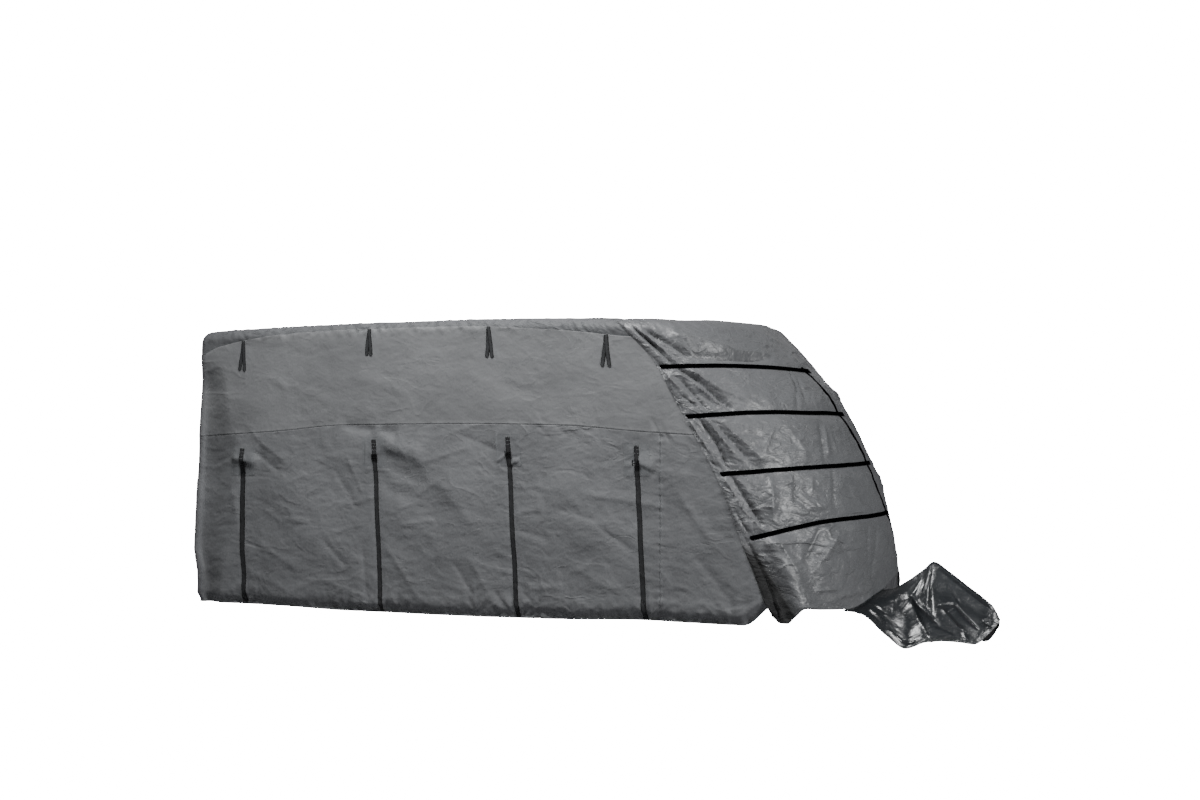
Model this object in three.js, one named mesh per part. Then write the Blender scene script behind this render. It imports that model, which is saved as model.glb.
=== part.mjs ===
// A fitted cover for a touring caravan, in the shape in which it hangs, in millimetres.
// x runs forward from the rear wall, y from the near side (negative) to the far side, z up from the hem.
// Every cloth panel is a grid of points on one skin. Panels that are sewn together share the points of
// their seam, so their edges stay parallel, a thread's width apart.
import * as THREE from 'three';

// Driving sizes of the whole cover.
const WIDTH = 2120;
const CLOTH = 2;
const WEBBING = 2.2;
const SEAM_GAP = 0.4;
const PIECE_GAP = 0.35;
const EDGE_RADIUS = 90;
const CROWN = 30;
const HALF = WIDTH / 2;
const INNER = HALF - EDGE_RADIUS;
const QUARTER_TURN = (EDGE_RADIUS * Math.PI) / 2;

// Rows of a side wall: hem to mid seam, mid seam to edge seam, edge seam to the top of the rounded edge.
const LOWER_ROWS = 11;
const UPPER_ROWS = 6;
const EDGE_ROWS = 3;
const WALL_ROWS = LOWER_ROWS + UPPER_ROWS;
const TOP_ROW = WALL_ROWS + EDGE_ROWS;
const CORNER_COLUMNS = 3;
const ROOF_COLUMNS = 8;
const REAR_COLUMNS = 6;
const FRONT_COLUMNS = 28;

// Heights of the lines that run along a side, at places along its length.
const SIDE_LINES = [
  { x: 0, hem: 0, mid: 1360, edge: 1998, roof: 2218 },
  { x: 250, hem: 3, mid: 1372, edge: 2100, roof: 2232 },
  { x: 830, hem: 2, mid: 1401, edge: 2176, roof: 2244 },
  { x: 1500, hem: -12, mid: 1446, edge: 2200, roof: 2251 },
  { x: 2520, hem: -11, mid: 1450, edge: 2196, roof: 2250 },
  { x: 3445, hem: 0, mid: 1434, edge: 2142, roof: 2234 },
  { x: 4140, hem: 21, mid: 1382, edge: 2072, roof: 2196 },
  { x: 4880, hem: 16, mid: 1336, edge: 2062, roof: 2184 },
  { x: 5106, hem: 142, mid: 1320, edge: 2060, roof: 2180 },
];

// How far the front seam and the nose of the front panel reach, at heights above the hem.
const FRONT_LINES = [
  { z: 0, seam: 5165, nose: 5598 },
  { z: 350, seam: 5028, nose: 5568 },
  { z: 630, seam: 4902, nose: 5530 },
  { z: 940, seam: 4777, nose: 5466 },
  { z: 1160, seam: 4668, nose: 5384 },
  { z: 1340, seam: 4560, nose: 5298 },
  { z: 1600, seam: 4400, nose: 5143 },
  { z: 1910, seam: 4207, nose: 4880 },
  { z: 2080, seam: 4034, nose: 4695 },
  { z: 2165, seam: 3925, nose: 4580 },
  { z: 2200, seam: 3831, nose: 4300 },
];

// Height of the front panel's hem across the cover. Beside the near seam it hangs down in a tail.
const FRONT_HEM = [
  { y: -1060, z: 142 },
  { y: -1053, z: 46 },
  { y: -1033, z: 40 },
  { y: -1000, z: 80 },
  { y: -955, z: 131 },
  { y: -560, z: 122 },
  { y: -240, z: 193 },
  { y: 50, z: 256 },
  { y: 480, z: 330 },
  { y: 800, z: 205 },
  { y: 1060, z: 142 },
];

// The rear wall stands almost upright, with a slack belly low down.
const REAR_LEAN = [
  { z: 0, x: -30 },
  { z: 250, x: -38 },
  { z: 450, x: -76 },
  { z: 890, x: -52 },
  { z: 1450, x: -27 },
  { z: 1750, x: -12 },
  { z: 2250, x: 7 },
];

// Side straps, from their patch under the mid seam down to the hem.
const STRAPS = [
  { topX: 499, hemX: 513, topZ: 1264, buckleZ: 1135 },
  { topX: 1769, hemX: 1842, topZ: 1332, buckleZ: 1197 },
  { topX: 2990, hemX: 3073, topZ: 1351, buckleZ: 1225 },
  { topX: 4076, hemX: 4147, topZ: 1283, buckleZ: 1158 },
];
const STRAP_WIDTH = 40;

// A seam runs upright through the lower side, and the cloth in front of it has columns of its own.
const VERTICAL_SEAM = 4275;
const FRONT_PART = 4;

// Heights at which the mid seam and the edge seam meet the front seam.
const MID_MEETS_FRONT = 1352;
const EDGE_MEETS_FRONT = 2076;

// Folds of the walls: a row is one soft trough (negative depth) or ridge, lying at an angle to the
// horizontal, with its middle at x and z.
const NEAR_FOLDS = [
  { x: 385, z: 1700, angle: 98, length: 800, width: 60, depth: -12 },
  { x: 305, z: 500, angle: 109, length: 900, width: 65, depth: -14 },
  { x: 820, z: 1240, angle: 150, length: 520, width: 60, depth: 9 },
  { x: 1770, z: 1400, angle: 0, length: 620, width: 50, depth: -12 },
  { x: 2230, z: 1180, angle: 140, length: 460, width: 120, depth: 16 },
  { x: 1300, z: 560, angle: 55, length: 1100, width: 130, depth: 10 },
  { x: 2500, z: 620, angle: 128, length: 1000, width: 120, depth: 10 },
  { x: 3010, z: 1080, angle: 20, length: 420, width: 70, depth: -10 },
  { x: 3560, z: 640, angle: 60, length: 1000, width: 120, depth: 11 },
  { x: 4200, z: 1130, angle: 160, length: 300, width: 60, depth: -10 },
  { x: 4620, z: 520, angle: 118, length: 900, width: 110, depth: 9 },
];
const FAR_FOLDS = [
  { x: 420, z: 1500, angle: 84, length: 900, width: 70, depth: -11 },
  { x: 1200, z: 640, angle: 122, length: 1000, width: 130, depth: 12 },
  { x: 1700, z: 1390, angle: 4, length: 520, width: 55, depth: -10 },
  { x: 2420, z: 560, angle: 62, length: 1000, width: 120, depth: 11 },
  { x: 3150, z: 1100, angle: 158, length: 460, width: 80, depth: -10 },
  { x: 3620, z: 600, angle: 115, length: 980, width: 120, depth: 12 },
  { x: 4560, z: 560, angle: 64, length: 820, width: 110, depth: 9 },
];
const REAR_FOLDS = [
  { x: -640, z: 900, angle: 95, length: 1300, width: 110, depth: -13 },
  { x: -180, z: 620, angle: 70, length: 1100, width: 130, depth: 14 },
  { x: 420, z: 1150, angle: 100, length: 1200, width: 120, depth: -12 },
  { x: 760, z: 520, angle: 84, length: 900, width: 110, depth: 12 },
];

// Folds of the front panel. The place along it is the turn in degrees from the near seam at -90,
// round the nose at 0, to the far seam at 90.
const FRONT_FOLDS = [
  { turn: -74, z: 1790, angle: 125, length: 640, width: 55, depth: -30 },
  { turn: -72, z: 2020, angle: 145, length: 360, width: 50, depth: -22 },
  { turn: -41, z: 1908, angle: 178, length: 620, width: 60, depth: -22 },
  { turn: -78, z: 1640, angle: 100, length: 300, width: 45, depth: -12 },
  { turn: -80, z: 1310, angle: 114, length: 340, width: 45, depth: -15 },
  { turn: -76, z: 865, angle: 112, length: 400, width: 50, depth: -16 },
  { turn: -78, z: 380, angle: 98, length: 520, width: 60, depth: -26 },
  { turn: -58, z: 1420, angle: 130, length: 460, width: 55, depth: -12 },
  { turn: -52, z: 980, angle: 128, length: 460, width: 60, depth: -12 },
  { turn: -44, z: 545, angle: 35, length: 300, width: 60, depth: -14 },
  { turn: -32, z: 400, angle: 140, length: 380, width: 60, depth: 14 },
  { turn: -20, z: 1250, angle: 112, length: 560, width: 70, depth: 12 },
  { turn: -5, z: 1600, angle: 102, length: 420, width: 60, depth: -12 },
  { turn: -6, z: 700, angle: 118, length: 520, width: 70, depth: -10 },
  { turn: 30, z: 900, angle: 84, length: 900, width: 60, depth: -12 },
  { turn: 55, z: 1500, angle: 66, length: 700, width: 70, depth: -18 },
  { turn: 62, z: 800, angle: 60, length: 700, width: 70, depth: 15 },
];

// Bands round the front: heights near the seam, half way and at the end, and the turns where they
// start and end.
const BANDS = [
  { startZ: 1851, middleZ: 1858, endZ: 1845, startTurn: -88, endTurn: 5 },
  { startZ: 1490, middleZ: 1522, endZ: 1521, startTurn: -88.5, endTurn: 9 },
  { startZ: 1079, middleZ: 1126, endZ: 1154, startTurn: -86.5, endTurn: 15 },
  { startZ: 630, middleZ: 752, endZ: 780, startTurn: -83, endTurn: 24 },
];
const BAND_WIDTH = 31;

// The upright webbing that the bands end on, from the top band down to the hem.
const FRONT_WEBBING = [
  { z: 300, turn: 33 },
  { z: 600, turn: 27 },
  { z: 780, turn: 21 },
  { z: 1000, turn: 13 },
  { z: 1370, turn: 7.5 },
  { z: 1560, turn: 4 },
  { z: 1870, turn: 1 },
];

const UPRIGHT = { top: 1872, bottom: 372, width: 32 };

// Tie tapes under the edge seam, a pair each. Both are sewn on at one place, one over the other, and
// hang splayed: their ends lie this far to the left and right of it.
const TIES = [
  { x: 478, length: 245, left: 22, right: 13 },
  { x: 1727, length: 208, left: 20, right: 14 },
  { x: 2822, length: 235, left: 8, right: 29 },
  { x: 3832, length: 235, left: 27, right: 25 },
];
const TIE_WIDTH = 32;

// Hitch cover: its hem and its ridge line, from under the front hem to the coupling.
const HITCH_LINES = [
  { hemX: 5478, half: 560, hemZ: 112, ridgeX: 5560, ridgeZ: 226 },
  { hemX: 5587, half: 470, hemZ: 77, ridgeX: 5640, ridgeZ: 232 },
  { hemX: 5708, half: 345, hemZ: -68, ridgeX: 5760, ridgeZ: 300 },
  { hemX: 5838, half: 268, hemZ: -172, ridgeX: 5880, ridgeZ: 385 },
  { hemX: 5983, half: 224, hemZ: -122, ridgeX: 5964, ridgeZ: 444 },
  { hemX: 6100, half: 190, hemZ: -112, ridgeX: 6080, ridgeZ: 375 },
  { hemX: 6205, half: 160, hemZ: -118, ridgeX: 6200, ridgeZ: 290 },
  { hemX: 6300, half: 126, hemZ: -132, ridgeX: 6330, ridgeZ: 196 },
  { hemX: 6385, half: 92, hemZ: -66, ridgeX: 6405, ridgeZ: 132 },
  { hemX: 6430, half: 46, hemZ: -6, ridgeX: 6454, ridgeZ: 44 },
];

// A smooth curve through a short table, read at one of its columns.
function along(table, key, column, at) {
  const last = table.length - 1;
  const place = Math.min(Math.max(at, table[0][key]), table[last][key]);
  let i = 0;
  while (i < last - 1 && place > table[i + 1][key]) i += 1;
  const slope = (a, b) => (table[b][column] - table[a][column]) / (table[b][key] - table[a][key]);
  const span = table[i + 1][key] - table[i][key];
  const middle = slope(i, i + 1);
  const smooth = (before) => (before * middle <= 0 ? 0 : (2 * before * middle) / (before + middle));
  const start = i > 0 ? smooth(slope(i - 1, i)) : middle;
  const end = i < last - 1 ? smooth(slope(i + 1, i + 2)) : middle;
  const f = (place - table[i][key]) / span;
  const rise = table[i + 1][column] - table[i][column];
  return table[i][column] + start * span * f * (1 - f) * (1 - f)
    + rise * f * f * (3 - 2 * f) - end * span * f * f * (1 - f);
}

const mix = (a, b, f) => a + (b - a) * f;
const crownAt = (y) => CROWN * (1 - (y / INNER) ** 2);
const fade = (f) => {
  const c = Math.min(Math.max(f, 0), 1);
  return c * c * (3 - 2 * c);
};

// Height of all folds in a table at one place of a wall laid flat.
function foldHeight(folds, x, z) {
  let height = 0;
  for (const fold of folds) {
    const a = THREE.MathUtils.degToRad(fold.angle);
    const dx = x - fold.x;
    const dz = z - fold.z;
    const run = (dx * Math.cos(a) + dz * Math.sin(a)) / (fold.length / 2);
    const across = (dz * Math.cos(a) - dx * Math.sin(a)) / fold.width;
    height += fold.depth * Math.exp(-across * across) * fade(1.3 - Math.abs(run));
  }
  return height;
}

// One point of the skin: a place on the inner outline, the way out of it in plan, and the distance
// down from the top of the rounded roof edge.
function skinPoint(baseX, baseY, outX, outY, roof, down) {
  const angle = Math.min(down / EDGE_RADIUS, Math.PI / 2);
  const reach = EDGE_RADIUS * Math.sin(angle);
  const drop = EDGE_RADIUS * (1 - Math.cos(angle)) + Math.max(0, down - QUARTER_TURN);
  const p = new THREE.Vector3(baseX + outX * reach, baseY + outY * reach, roof - drop);
  const out = new THREE.Vector3(outX * Math.sin(angle), outY * Math.sin(angle), Math.cos(angle));
  return { p, out };
}

// Distance down the skin from the roof edge to a height.
function downTo(roof, z) {
  const drop = roof - z;
  if (drop >= EDGE_RADIUS) return QUARTER_TURN + drop - EDGE_RADIUS;
  return EDGE_RADIUS * Math.acos(1 - Math.max(drop, 0) / EDGE_RADIUS);
}

const rearLean = (x, z) => along(REAR_LEAN, 'z', 'x', z) * (1 - fade((x - EDGE_RADIUS) / 700));
const seamX = (z) => along(FRONT_LINES, 'z', 'seam', z);
const strapX = (strap, z) => mix(strap.hemX, strap.topX, z / strap.topZ);

// The columns of a side wall behind the vertical seam: both edges of each strap, and what lies between.
function sideColumns() {
  const columns = [];
  const fill = (from, to, count) => {
    for (let i = 1; i <= count; i += 1) {
      columns.push({ hem: mix(from.hem, to.hem, i / count), mid: mix(from.mid, to.mid, i / count) });
    }
  };
  let last = { hem: EDGE_RADIUS, mid: EDGE_RADIUS };
  columns.push(last);
  const counts = [2, 4, 4, 4];
  STRAPS.forEach((strap, i) => {
    const left = { hem: strap.hemX - STRAP_WIDTH / 2, mid: strap.topX - STRAP_WIDTH / 2 };
    const right = { hem: strap.hemX + STRAP_WIDTH / 2, mid: strap.topX + STRAP_WIDTH / 2 };
    fill(last, left, counts[i]);
    fill(left, right, 1);
    last = right;
  });
  fill(last, { hem: VERTICAL_SEAM, mid: VERTICAL_SEAM }, 1);
  return columns;
}

const COLUMNS = sideColumns();
const BEHIND_SEAM = COLUMNS.length - 1;
const SIDE_COLUMNS = CORNER_COLUMNS + BEHIND_SEAM + FRONT_PART;
const VERTICAL_COLUMN = CORNER_COLUMNS + BEHIND_SEAM;

// Columns lean back above the mid seam, because the front seam does.
const SEAM_MID = seamX(MID_MEETS_FRONT);
const SEAM_EDGE = seamX(EDGE_MEETS_FRONT);
const SEAM_TOP = FRONT_LINES[FRONT_LINES.length - 1].seam;
const ROOF_AT_SEAM = along(SIDE_LINES, 'x', 'roof', SEAM_TOP);
const edgeX = (x) => x - (SEAM_MID - SEAM_EDGE) * (x / SEAM_MID) ** 4;
const topX = (x) => x - (SEAM_EDGE - SEAM_TOP) * (x / SEAM_EDGE) ** 6;

// The four heights and places that a column of the side wall runs through.
function columnKnots(index) {
  const behind = Math.min(index - CORNER_COLUMNS, BEHIND_SEAM);
  const share = Math.max(0, index - VERTICAL_COLUMN) / FRONT_PART;
  const column = COLUMNS[Math.max(behind, 0)];
  const seamHem = seamX(SIDE_LINES[SIDE_LINES.length - 1].hem);
  const hem = mix(column.hem, seamHem, share);
  const mid = mix(column.mid, SEAM_MID, share);
  const edge = mix(edgeX(column.mid), SEAM_EDGE, share);
  const top = mix(topX(edgeX(column.mid)), SEAM_TOP, share);
  const height = (name, x) => along(SIDE_LINES, 'x', name, x);
  return { hem, mid, edge, top, hemZ: height('hem', hem), midZ: height('mid', mid),
    edgeZ: height('edge', edge), roof: height('roof', top), share };
}

// One column of a side wall, from hem to roof edge. The last one lies on the front seam.
function sideColumn(index, sign, folds) {
  const knots = columnKnots(index);
  const turn = index < CORNER_COLUMNS ? (45 + (45 * index) / CORNER_COLUMNS) : 90;
  const a = THREE.MathUtils.degToRad(turn);
  const points = [];
  for (let row = 0; row <= TOP_ROW; row += 1) {
    let z;
    let x;
    if (row <= LOWER_ROWS) {
      const f = row / LOWER_ROWS;
      z = mix(knots.hemZ, knots.midZ, f);
      x = mix(knots.hem, knots.mid, f);
      if (knots.share > 0) x = mix(VERTICAL_SEAM, seamX(z), knots.share);
    } else if (row <= WALL_ROWS) {
      const f = (row - LOWER_ROWS) / UPPER_ROWS;
      z = mix(knots.midZ, knots.edgeZ, f);
      x = mix(knots.mid, knots.edge, f);
      if (knots.share > 0) x = mix(mix(VERTICAL_SEAM, edgeX(VERTICAL_SEAM), f), seamX(z), knots.share);
    }
    let down = downTo(knots.roof, z);
    if (row > WALL_ROWS) {
      const f = (row - WALL_ROWS) / EDGE_ROWS;
      down = downTo(knots.roof, knots.edgeZ) * (1 - f);
      x = mix(knots.edge, knots.top, f);
    }
    const point = skinPoint(x, sign * INNER, -Math.cos(a), sign * Math.sin(a), knots.roof, down);
    const billow = wallRelief(x, point.p.z, folds);
    point.p.addScaledVector(point.out, billow * fade(down / QUARTER_TURN - 0.6));
    point.p.x += rearLean(x, point.p.z);
    points.push(point);
  }
  return points;
}

// The cloth is drawn in along each strap and swells between them, less and less above the mid seam.
const PULL = { reach: 240, swell: 9, depth: 16, fadesFrom: 1150, fadesOver: 500 };
function wallRelief(x, z, folds) {
  let pull = 0;
  for (const strap of STRAPS) {
    const away = (x - strapX(strap, z)) / PULL.reach;
    pull += Math.exp(-away * away);
  }
  const low = 1 - fade((z - PULL.fadesFrom) / PULL.fadesOver);
  return foldHeight(folds, x, z) + (PULL.swell - PULL.depth * pull) * low;
}

function sideWall(sign, folds) {
  const wall = [];
  for (let i = 0; i <= SIDE_COLUMNS; i += 1) wall.push(sideColumn(i, sign, folds));
  return wall;
}

const near = sideWall(-1, NEAR_FOLDS);
const far = sideWall(1, FAR_FOLDS);

// The rear wall spans from corner seam to corner seam and ends at the roof's rear seam.
function rearWall() {
  const wall = [];
  const last = 2 * CORNER_COLUMNS + REAR_COLUMNS;
  for (let i = 0; i <= last; i += 1) {
    const fromEnd = Math.min(i, last - i);
    const sign = i * 2 < last ? -1 : 1;
    const turn = 45 * (1 - Math.min(fromEnd / CORNER_COLUMNS, 1));
    const a = THREE.MathUtils.degToRad(turn);
    const across = Math.min(Math.max((i - CORNER_COLUMNS) / REAR_COLUMNS, 0), 1);
    const baseY = mix(-INNER, INNER, across);
    const knots = columnKnots(0);
    const column = [];
    for (let row = 0; row <= WALL_ROWS; row += 1) {
      if (i === 0) column.push(near[0][row]);
      else if (i === last) column.push(far[0][row]);
      else {
        const z = row <= LOWER_ROWS ? mix(knots.hemZ, knots.midZ, row / LOWER_ROWS)
          : mix(knots.midZ, knots.edgeZ, (row - LOWER_ROWS) / UPPER_ROWS);
        const down = downTo(knots.roof, z);
        const point = skinPoint(EDGE_RADIUS, baseY, -Math.cos(a), sign * Math.sin(a), knots.roof, down);
        const relief = foldHeight(REAR_FOLDS, point.p.y, z) * fade(1 - z / 2000);
        point.p.addScaledVector(point.out, relief);
        point.p.x += rearLean(EDGE_RADIUS, z);
        column.push(point);
      }
    }
    wall.push(column);
  }
  return wall;
}

// The roof panel: a row for each column of the side walls, with its rounded edge on three sides.
function roofPanel() {
  const last = 2 * EDGE_ROWS + ROOF_COLUMNS;
  const rows = [];
  for (let i = 0; i <= SIDE_COLUMNS; i += 1) {
    const row = [];
    for (let j = 0; j <= last; j += 1) {
      const fromEnd = Math.min(j, last - j);
      const side = j * 2 < last ? near : far;
      if (i >= CORNER_COLUMNS && fromEnd <= EDGE_ROWS) row.push(side[i][WALL_ROWS + fromEnd]);
      else if (i < CORNER_COLUMNS) row.push(rearEdgePoint(i, j, last));
      else {
        const f = (j - EDGE_ROWS) / ROOF_COLUMNS;
        const a = near[i][TOP_ROW].p;
        const b = far[i][TOP_ROW].p;
        const p = a.clone().lerp(b, f);
        p.z += crownAt(p.y) * fade((i - CORNER_COLUMNS) / 2);
        row.push({ p, out: new THREE.Vector3(0, 0, 1) });
      }
    }
    rows.push(row);
  }
  return rows;
}

// Round the rear edge and its two corners the rows turn with the corner.
function rearEdgePoint(i, j, last) {
  const fromEnd = Math.min(j, last - j);
  const ring = Math.min(i, fromEnd, CORNER_COLUMNS);
  const sign = j * 2 < last ? -1 : 1;
  const left = CORNER_COLUMNS - ring;
  const sideways = fromEnd < i ? (i - ring) / left : 0;
  const rearward = Math.min((fromEnd - ring) / left, 1);
  const turn = THREE.MathUtils.degToRad(45 + 45 * sideways - 45 * rearward);
  const across = Math.min(Math.max((j - EDGE_ROWS) / ROOF_COLUMNS, 0), 1);
  const knots = columnKnots(0);
  if (i === 0 && fromEnd === 0) return (sign < 0 ? near : far)[0][WALL_ROWS];
  if (fromEnd === 0) return (sign < 0 ? near : far)[i][WALL_ROWS];
  const down = downTo(knots.roof, knots.edgeZ) * (1 - ring / CORNER_COLUMNS);
  const baseY = mix(-INNER, INNER, across);
  const point = skinPoint(EDGE_RADIUS, baseY, -Math.cos(turn), sign * Math.sin(turn), knots.roof, down);
  point.p.x += rearLean(EDGE_RADIUS, point.p.z);
  return point;
}

// One point of the front's smooth form: a ring at a height, at a turn from the near seam round the nose.
function frontRing(turn, z) {
  const a = THREE.MathUtils.degToRad(turn);
  const seam = seamX(z);
  const nose = along(FRONT_LINES, 'z', 'nose', z);
  const top = FRONT_LINES[FRONT_LINES.length - 1].z;
  const over = Math.max(0, z - (top - EDGE_RADIUS));
  const half = INNER + Math.sqrt(Math.max(EDGE_RADIUS ** 2 - over ** 2, 0));
  const y = half * Math.sin(a);
  const lift = crownAt(y * (INNER / half)) * fade((z - 1700) / (top - 1700));
  return new THREE.Vector3(seam + (nose - seam) * Math.cos(a), y, z + lift);
}

// A column of the front panel: up the front from its hem, over the shoulder and back along the roof
// to the roof seam. Its rows take even shares of the same lengths as the rows of the side seam.
function frontColumn(turn, shares) {
  const a = THREE.MathUtils.degToRad(turn);
  const top = FRONT_LINES[FRONT_LINES.length - 1];
  const hem = along(FRONT_HEM, 'y', 'z', HALF * Math.sin(a));
  const track = [];
  const upright = 60;
  const level = 12;
  for (let i = 0; i <= upright; i += 1) track.push(frontRing(turn, mix(hem, top.z, i / upright)));
  const rim = track[upright];
  const seamZ = ROOF_AT_SEAM + crownAt(rim.y);
  for (let i = 1; i <= level; i += 1) {
    const f = i / level;
    track.push(new THREE.Vector3(mix(rim.x, top.seam, f), rim.y, mix(rim.z, seamZ, f)));
  }
  const lengths = [0];
  for (let i = 1; i < track.length; i += 1) lengths.push(lengths[i - 1] + track[i].distanceTo(track[i - 1]));
  const total = lengths[lengths.length - 1];
  return shares.map((share) => {
    const target = share * total;
    let i = 1;
    while (i < lengths.length - 1 && lengths[i] < target) i += 1;
    const f = (target - lengths[i - 1]) / Math.max(lengths[i] - lengths[i - 1], 1e-6);
    return track[i - 1].clone().lerp(track[i], f);
  });
}

// The side seam's rows, with one more half way between each two.
function doubled(column) {
  const points = [];
  column.forEach((point, i) => {
    if (i > 0) {
      const before = column[i - 1];
      points.push({ p: before.p.clone().lerp(point.p, 0.5), out: before.out.clone().lerp(point.out, 0.5) });
    }
    points.push(point);
  });
  return points;
}

function frontPanel() {
  const nearSeam = doubled(near[SIDE_COLUMNS]);
  const farSeam = doubled(far[SIDE_COLUMNS]);
  const lengths = [0];
  for (let i = 1; i < nearSeam.length; i += 1) {
    lengths.push(lengths[i - 1] + nearSeam[i].p.distanceTo(nearSeam[i - 1].p));
  }
  const shares = lengths.map((length) => length / lengths[lengths.length - 1]);
  const smooth = [];
  for (let i = 0; i <= FRONT_COLUMNS; i += 1) {
    smooth.push(frontColumn(mix(-90, 90, i / FRONT_COLUMNS), shares));
  }
  const panel = [];
  for (let i = 0; i <= FRONT_COLUMNS; i += 1) {
    if (i === 0) panel.push(nearSeam);
    else if (i === FRONT_COLUMNS) panel.push(farSeam);
    else panel.push(smooth[i].map((p, row) => frontPoint(smooth, i, row, p)));
  }
  return panel;
}

// Folds stand square to the smooth form, and die out at the roof seam. The front laid flat is a
// quarter of its girth long on each side of the nose.
const TURN_LENGTH = 1300 / 90;
const FOLDS_ON_FLAT_FRONT = FRONT_FOLDS.map((fold) => ({ ...fold, x: fold.turn * TURN_LENGTH }));
function frontPoint(smooth, i, row, p) {
  const lastRow = smooth[i].length - 1;
  const sideways = smooth[i + 1][row].clone().sub(smooth[i - 1][row]);
  const up = smooth[i][Math.min(row + 1, lastRow)].clone().sub(smooth[i][Math.max(row - 1, 0)]);
  const out = sideways.cross(up).normalize();
  if (row === lastRow) out.set(0, 0, 1);
  const turn = mix(-90, 90, i / FRONT_COLUMNS);
  const relief = foldHeight(FOLDS_ON_FLAT_FRONT, turn * TURN_LENGTH, p.z) * fade((lastRow - row) / 6);
  return { p: p.clone().addScaledVector(out, relief), out };
}

// The hitch cover: a row of sections, each from its near hem over the ridge to its far hem.
const HITCH_STATIONS = 20;
const HITCH_HALF = 7;
const HITCH_CREASE = { depth: 14, waves: 23, shift: 1.3 };
const HITCH_SAG = 0.1;

// How far across the half width a row lies: close together near the ridge.
const hitchAcross = (f) => 0.2 * fade(f * 3) + 0.8 * f ** 1.25;

function hitchPanel() {
  const panel = [];
  const table = HITCH_LINES.map((line, i) => ({ ...line, at: i / (HITCH_LINES.length - 1) }));
  for (let i = 0; i <= HITCH_STATIONS; i += 1) {
    const at = i / HITCH_STATIONS;
    const read = (name) => along(table, 'at', name, at);
    const column = [];
    for (let j = -HITCH_HALF; j <= HITCH_HALF; j += 1) {
      const f = Math.abs(j) / HITCH_HALF;
      const side = Math.sign(j);
      const sag = Math.sin(f * Math.PI) * HITCH_SAG * (read('ridgeZ') - read('hemZ'));
      const wave = Math.sin(at * HITCH_CREASE.waves + side * HITCH_CREASE.shift);
      const crease = HITCH_CREASE.depth * wave * fade(at * 4) * f * (1.4 - f);
      const x = mix(read('ridgeX'), read('hemX'), f ** 1.3);
      const z = mix(read('ridgeZ'), read('hemZ'), f ** 1.1) - sag;
      column.push({ p: new THREE.Vector3(x, side * (read('half') * hitchAcross(f) + crease), z) });
    }
    panel.push(column);
  }
  return withNormals(panel);
}

// Outward directions of a free grid, from its own neighbours.
function withNormals(grid) {
  const columns = grid.length - 1;
  const rows = grid[0].length - 1;
  return grid.map((column, i) => column.map(({ p }, j) => {
    const a = grid[Math.min(i + 1, columns)][j].p.clone().sub(grid[Math.max(i - 1, 0)][j].p);
    const b = grid[i][Math.min(j + 1, rows)].p.clone().sub(grid[i][Math.max(j - 1, 0)].p);
    const out = a.cross(b).normalize();
    return { p, out };
  }));
}

// Each edge of a panel is drawn back from its seam line by half of the gap, square to the seam.
function drawnBack(grid) {
  const columns = grid.length - 1;
  const rows = grid[0].length - 1;
  const square = (before, after, out, inside, point) => {
    const step = after.p.clone().sub(before.p).cross(out).normalize();
    if (step.dot(inside.p.clone().sub(point.p)) < 0) step.negate();
    return step.multiplyScalar(SEAM_GAP / 2);
  };
  return grid.map((column, i) => column.map((point, j) => {
    const p = point.p.clone();
    if (j === 0 || j === rows) {
      const inside = column[j === 0 ? 1 : rows - 1];
      const before = grid[Math.max(i - 1, 0)][j];
      const after = grid[Math.min(i + 1, columns)][j];
      p.add(square(before, after, point.out, inside, point));
    }
    if (i === 0 || i === columns) {
      const inside = grid[i === 0 ? 1 : columns - 1][j];
      const before = column[Math.max(j - 1, 0)];
      const after = column[Math.min(j + 1, rows)];
      p.add(square(before, after, point.out, inside, point));
    }
    return { p, out: point.out };
  }));
}

// A closed sheet from a grid: its face, the same face one thickness inside, and the four edges.
function sheetGeometry(grid, thickness) {
  const columns = grid.length;
  const rows = grid[0].length;
  const positions = [];
  for (const side of [0, 1]) {
    for (const column of grid) {
      for (const { p, out } of column) {
        const q = p.clone().addScaledVector(out, -side * thickness);
        positions.push(q.x, q.y, q.z);
      }
    }
  }
  const at = (i, j, side) => side * columns * rows + i * rows + j;
  const faces = [];
  for (let i = 0; i + 1 < columns; i += 1) {
    for (let j = 0; j + 1 < rows; j += 1) {
      faces.push([at(i, j, 0), at(i + 1, j, 0), at(i + 1, j + 1, 0)]);
      faces.push([at(i, j, 0), at(i + 1, j + 1, 0), at(i, j + 1, 0)]);
      faces.push([at(i, j, 1), at(i + 1, j + 1, 1), at(i + 1, j, 1)]);
      faces.push([at(i, j, 1), at(i, j + 1, 1), at(i + 1, j + 1, 1)]);
    }
  }
  const rim = [];
  for (let i = 0; i + 1 < columns; i += 1) rim.push([i, 0]);
  for (let j = 0; j + 1 < rows; j += 1) rim.push([columns - 1, j]);
  for (let i = columns - 1; i > 0; i -= 1) rim.push([i, rows - 1]);
  for (let j = rows - 1; j > 0; j -= 1) rim.push([0, j]);
  rim.forEach(([i, j], n) => {
    const [k, l] = rim[(n + 1) % rim.length];
    faces.push([at(i, j, 0), at(i, j, 1), at(k, l, 1)]);
    faces.push([at(i, j, 0), at(k, l, 1), at(k, l, 0)]);
  });
  return closedGeometry(positions, faces);
}

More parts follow.
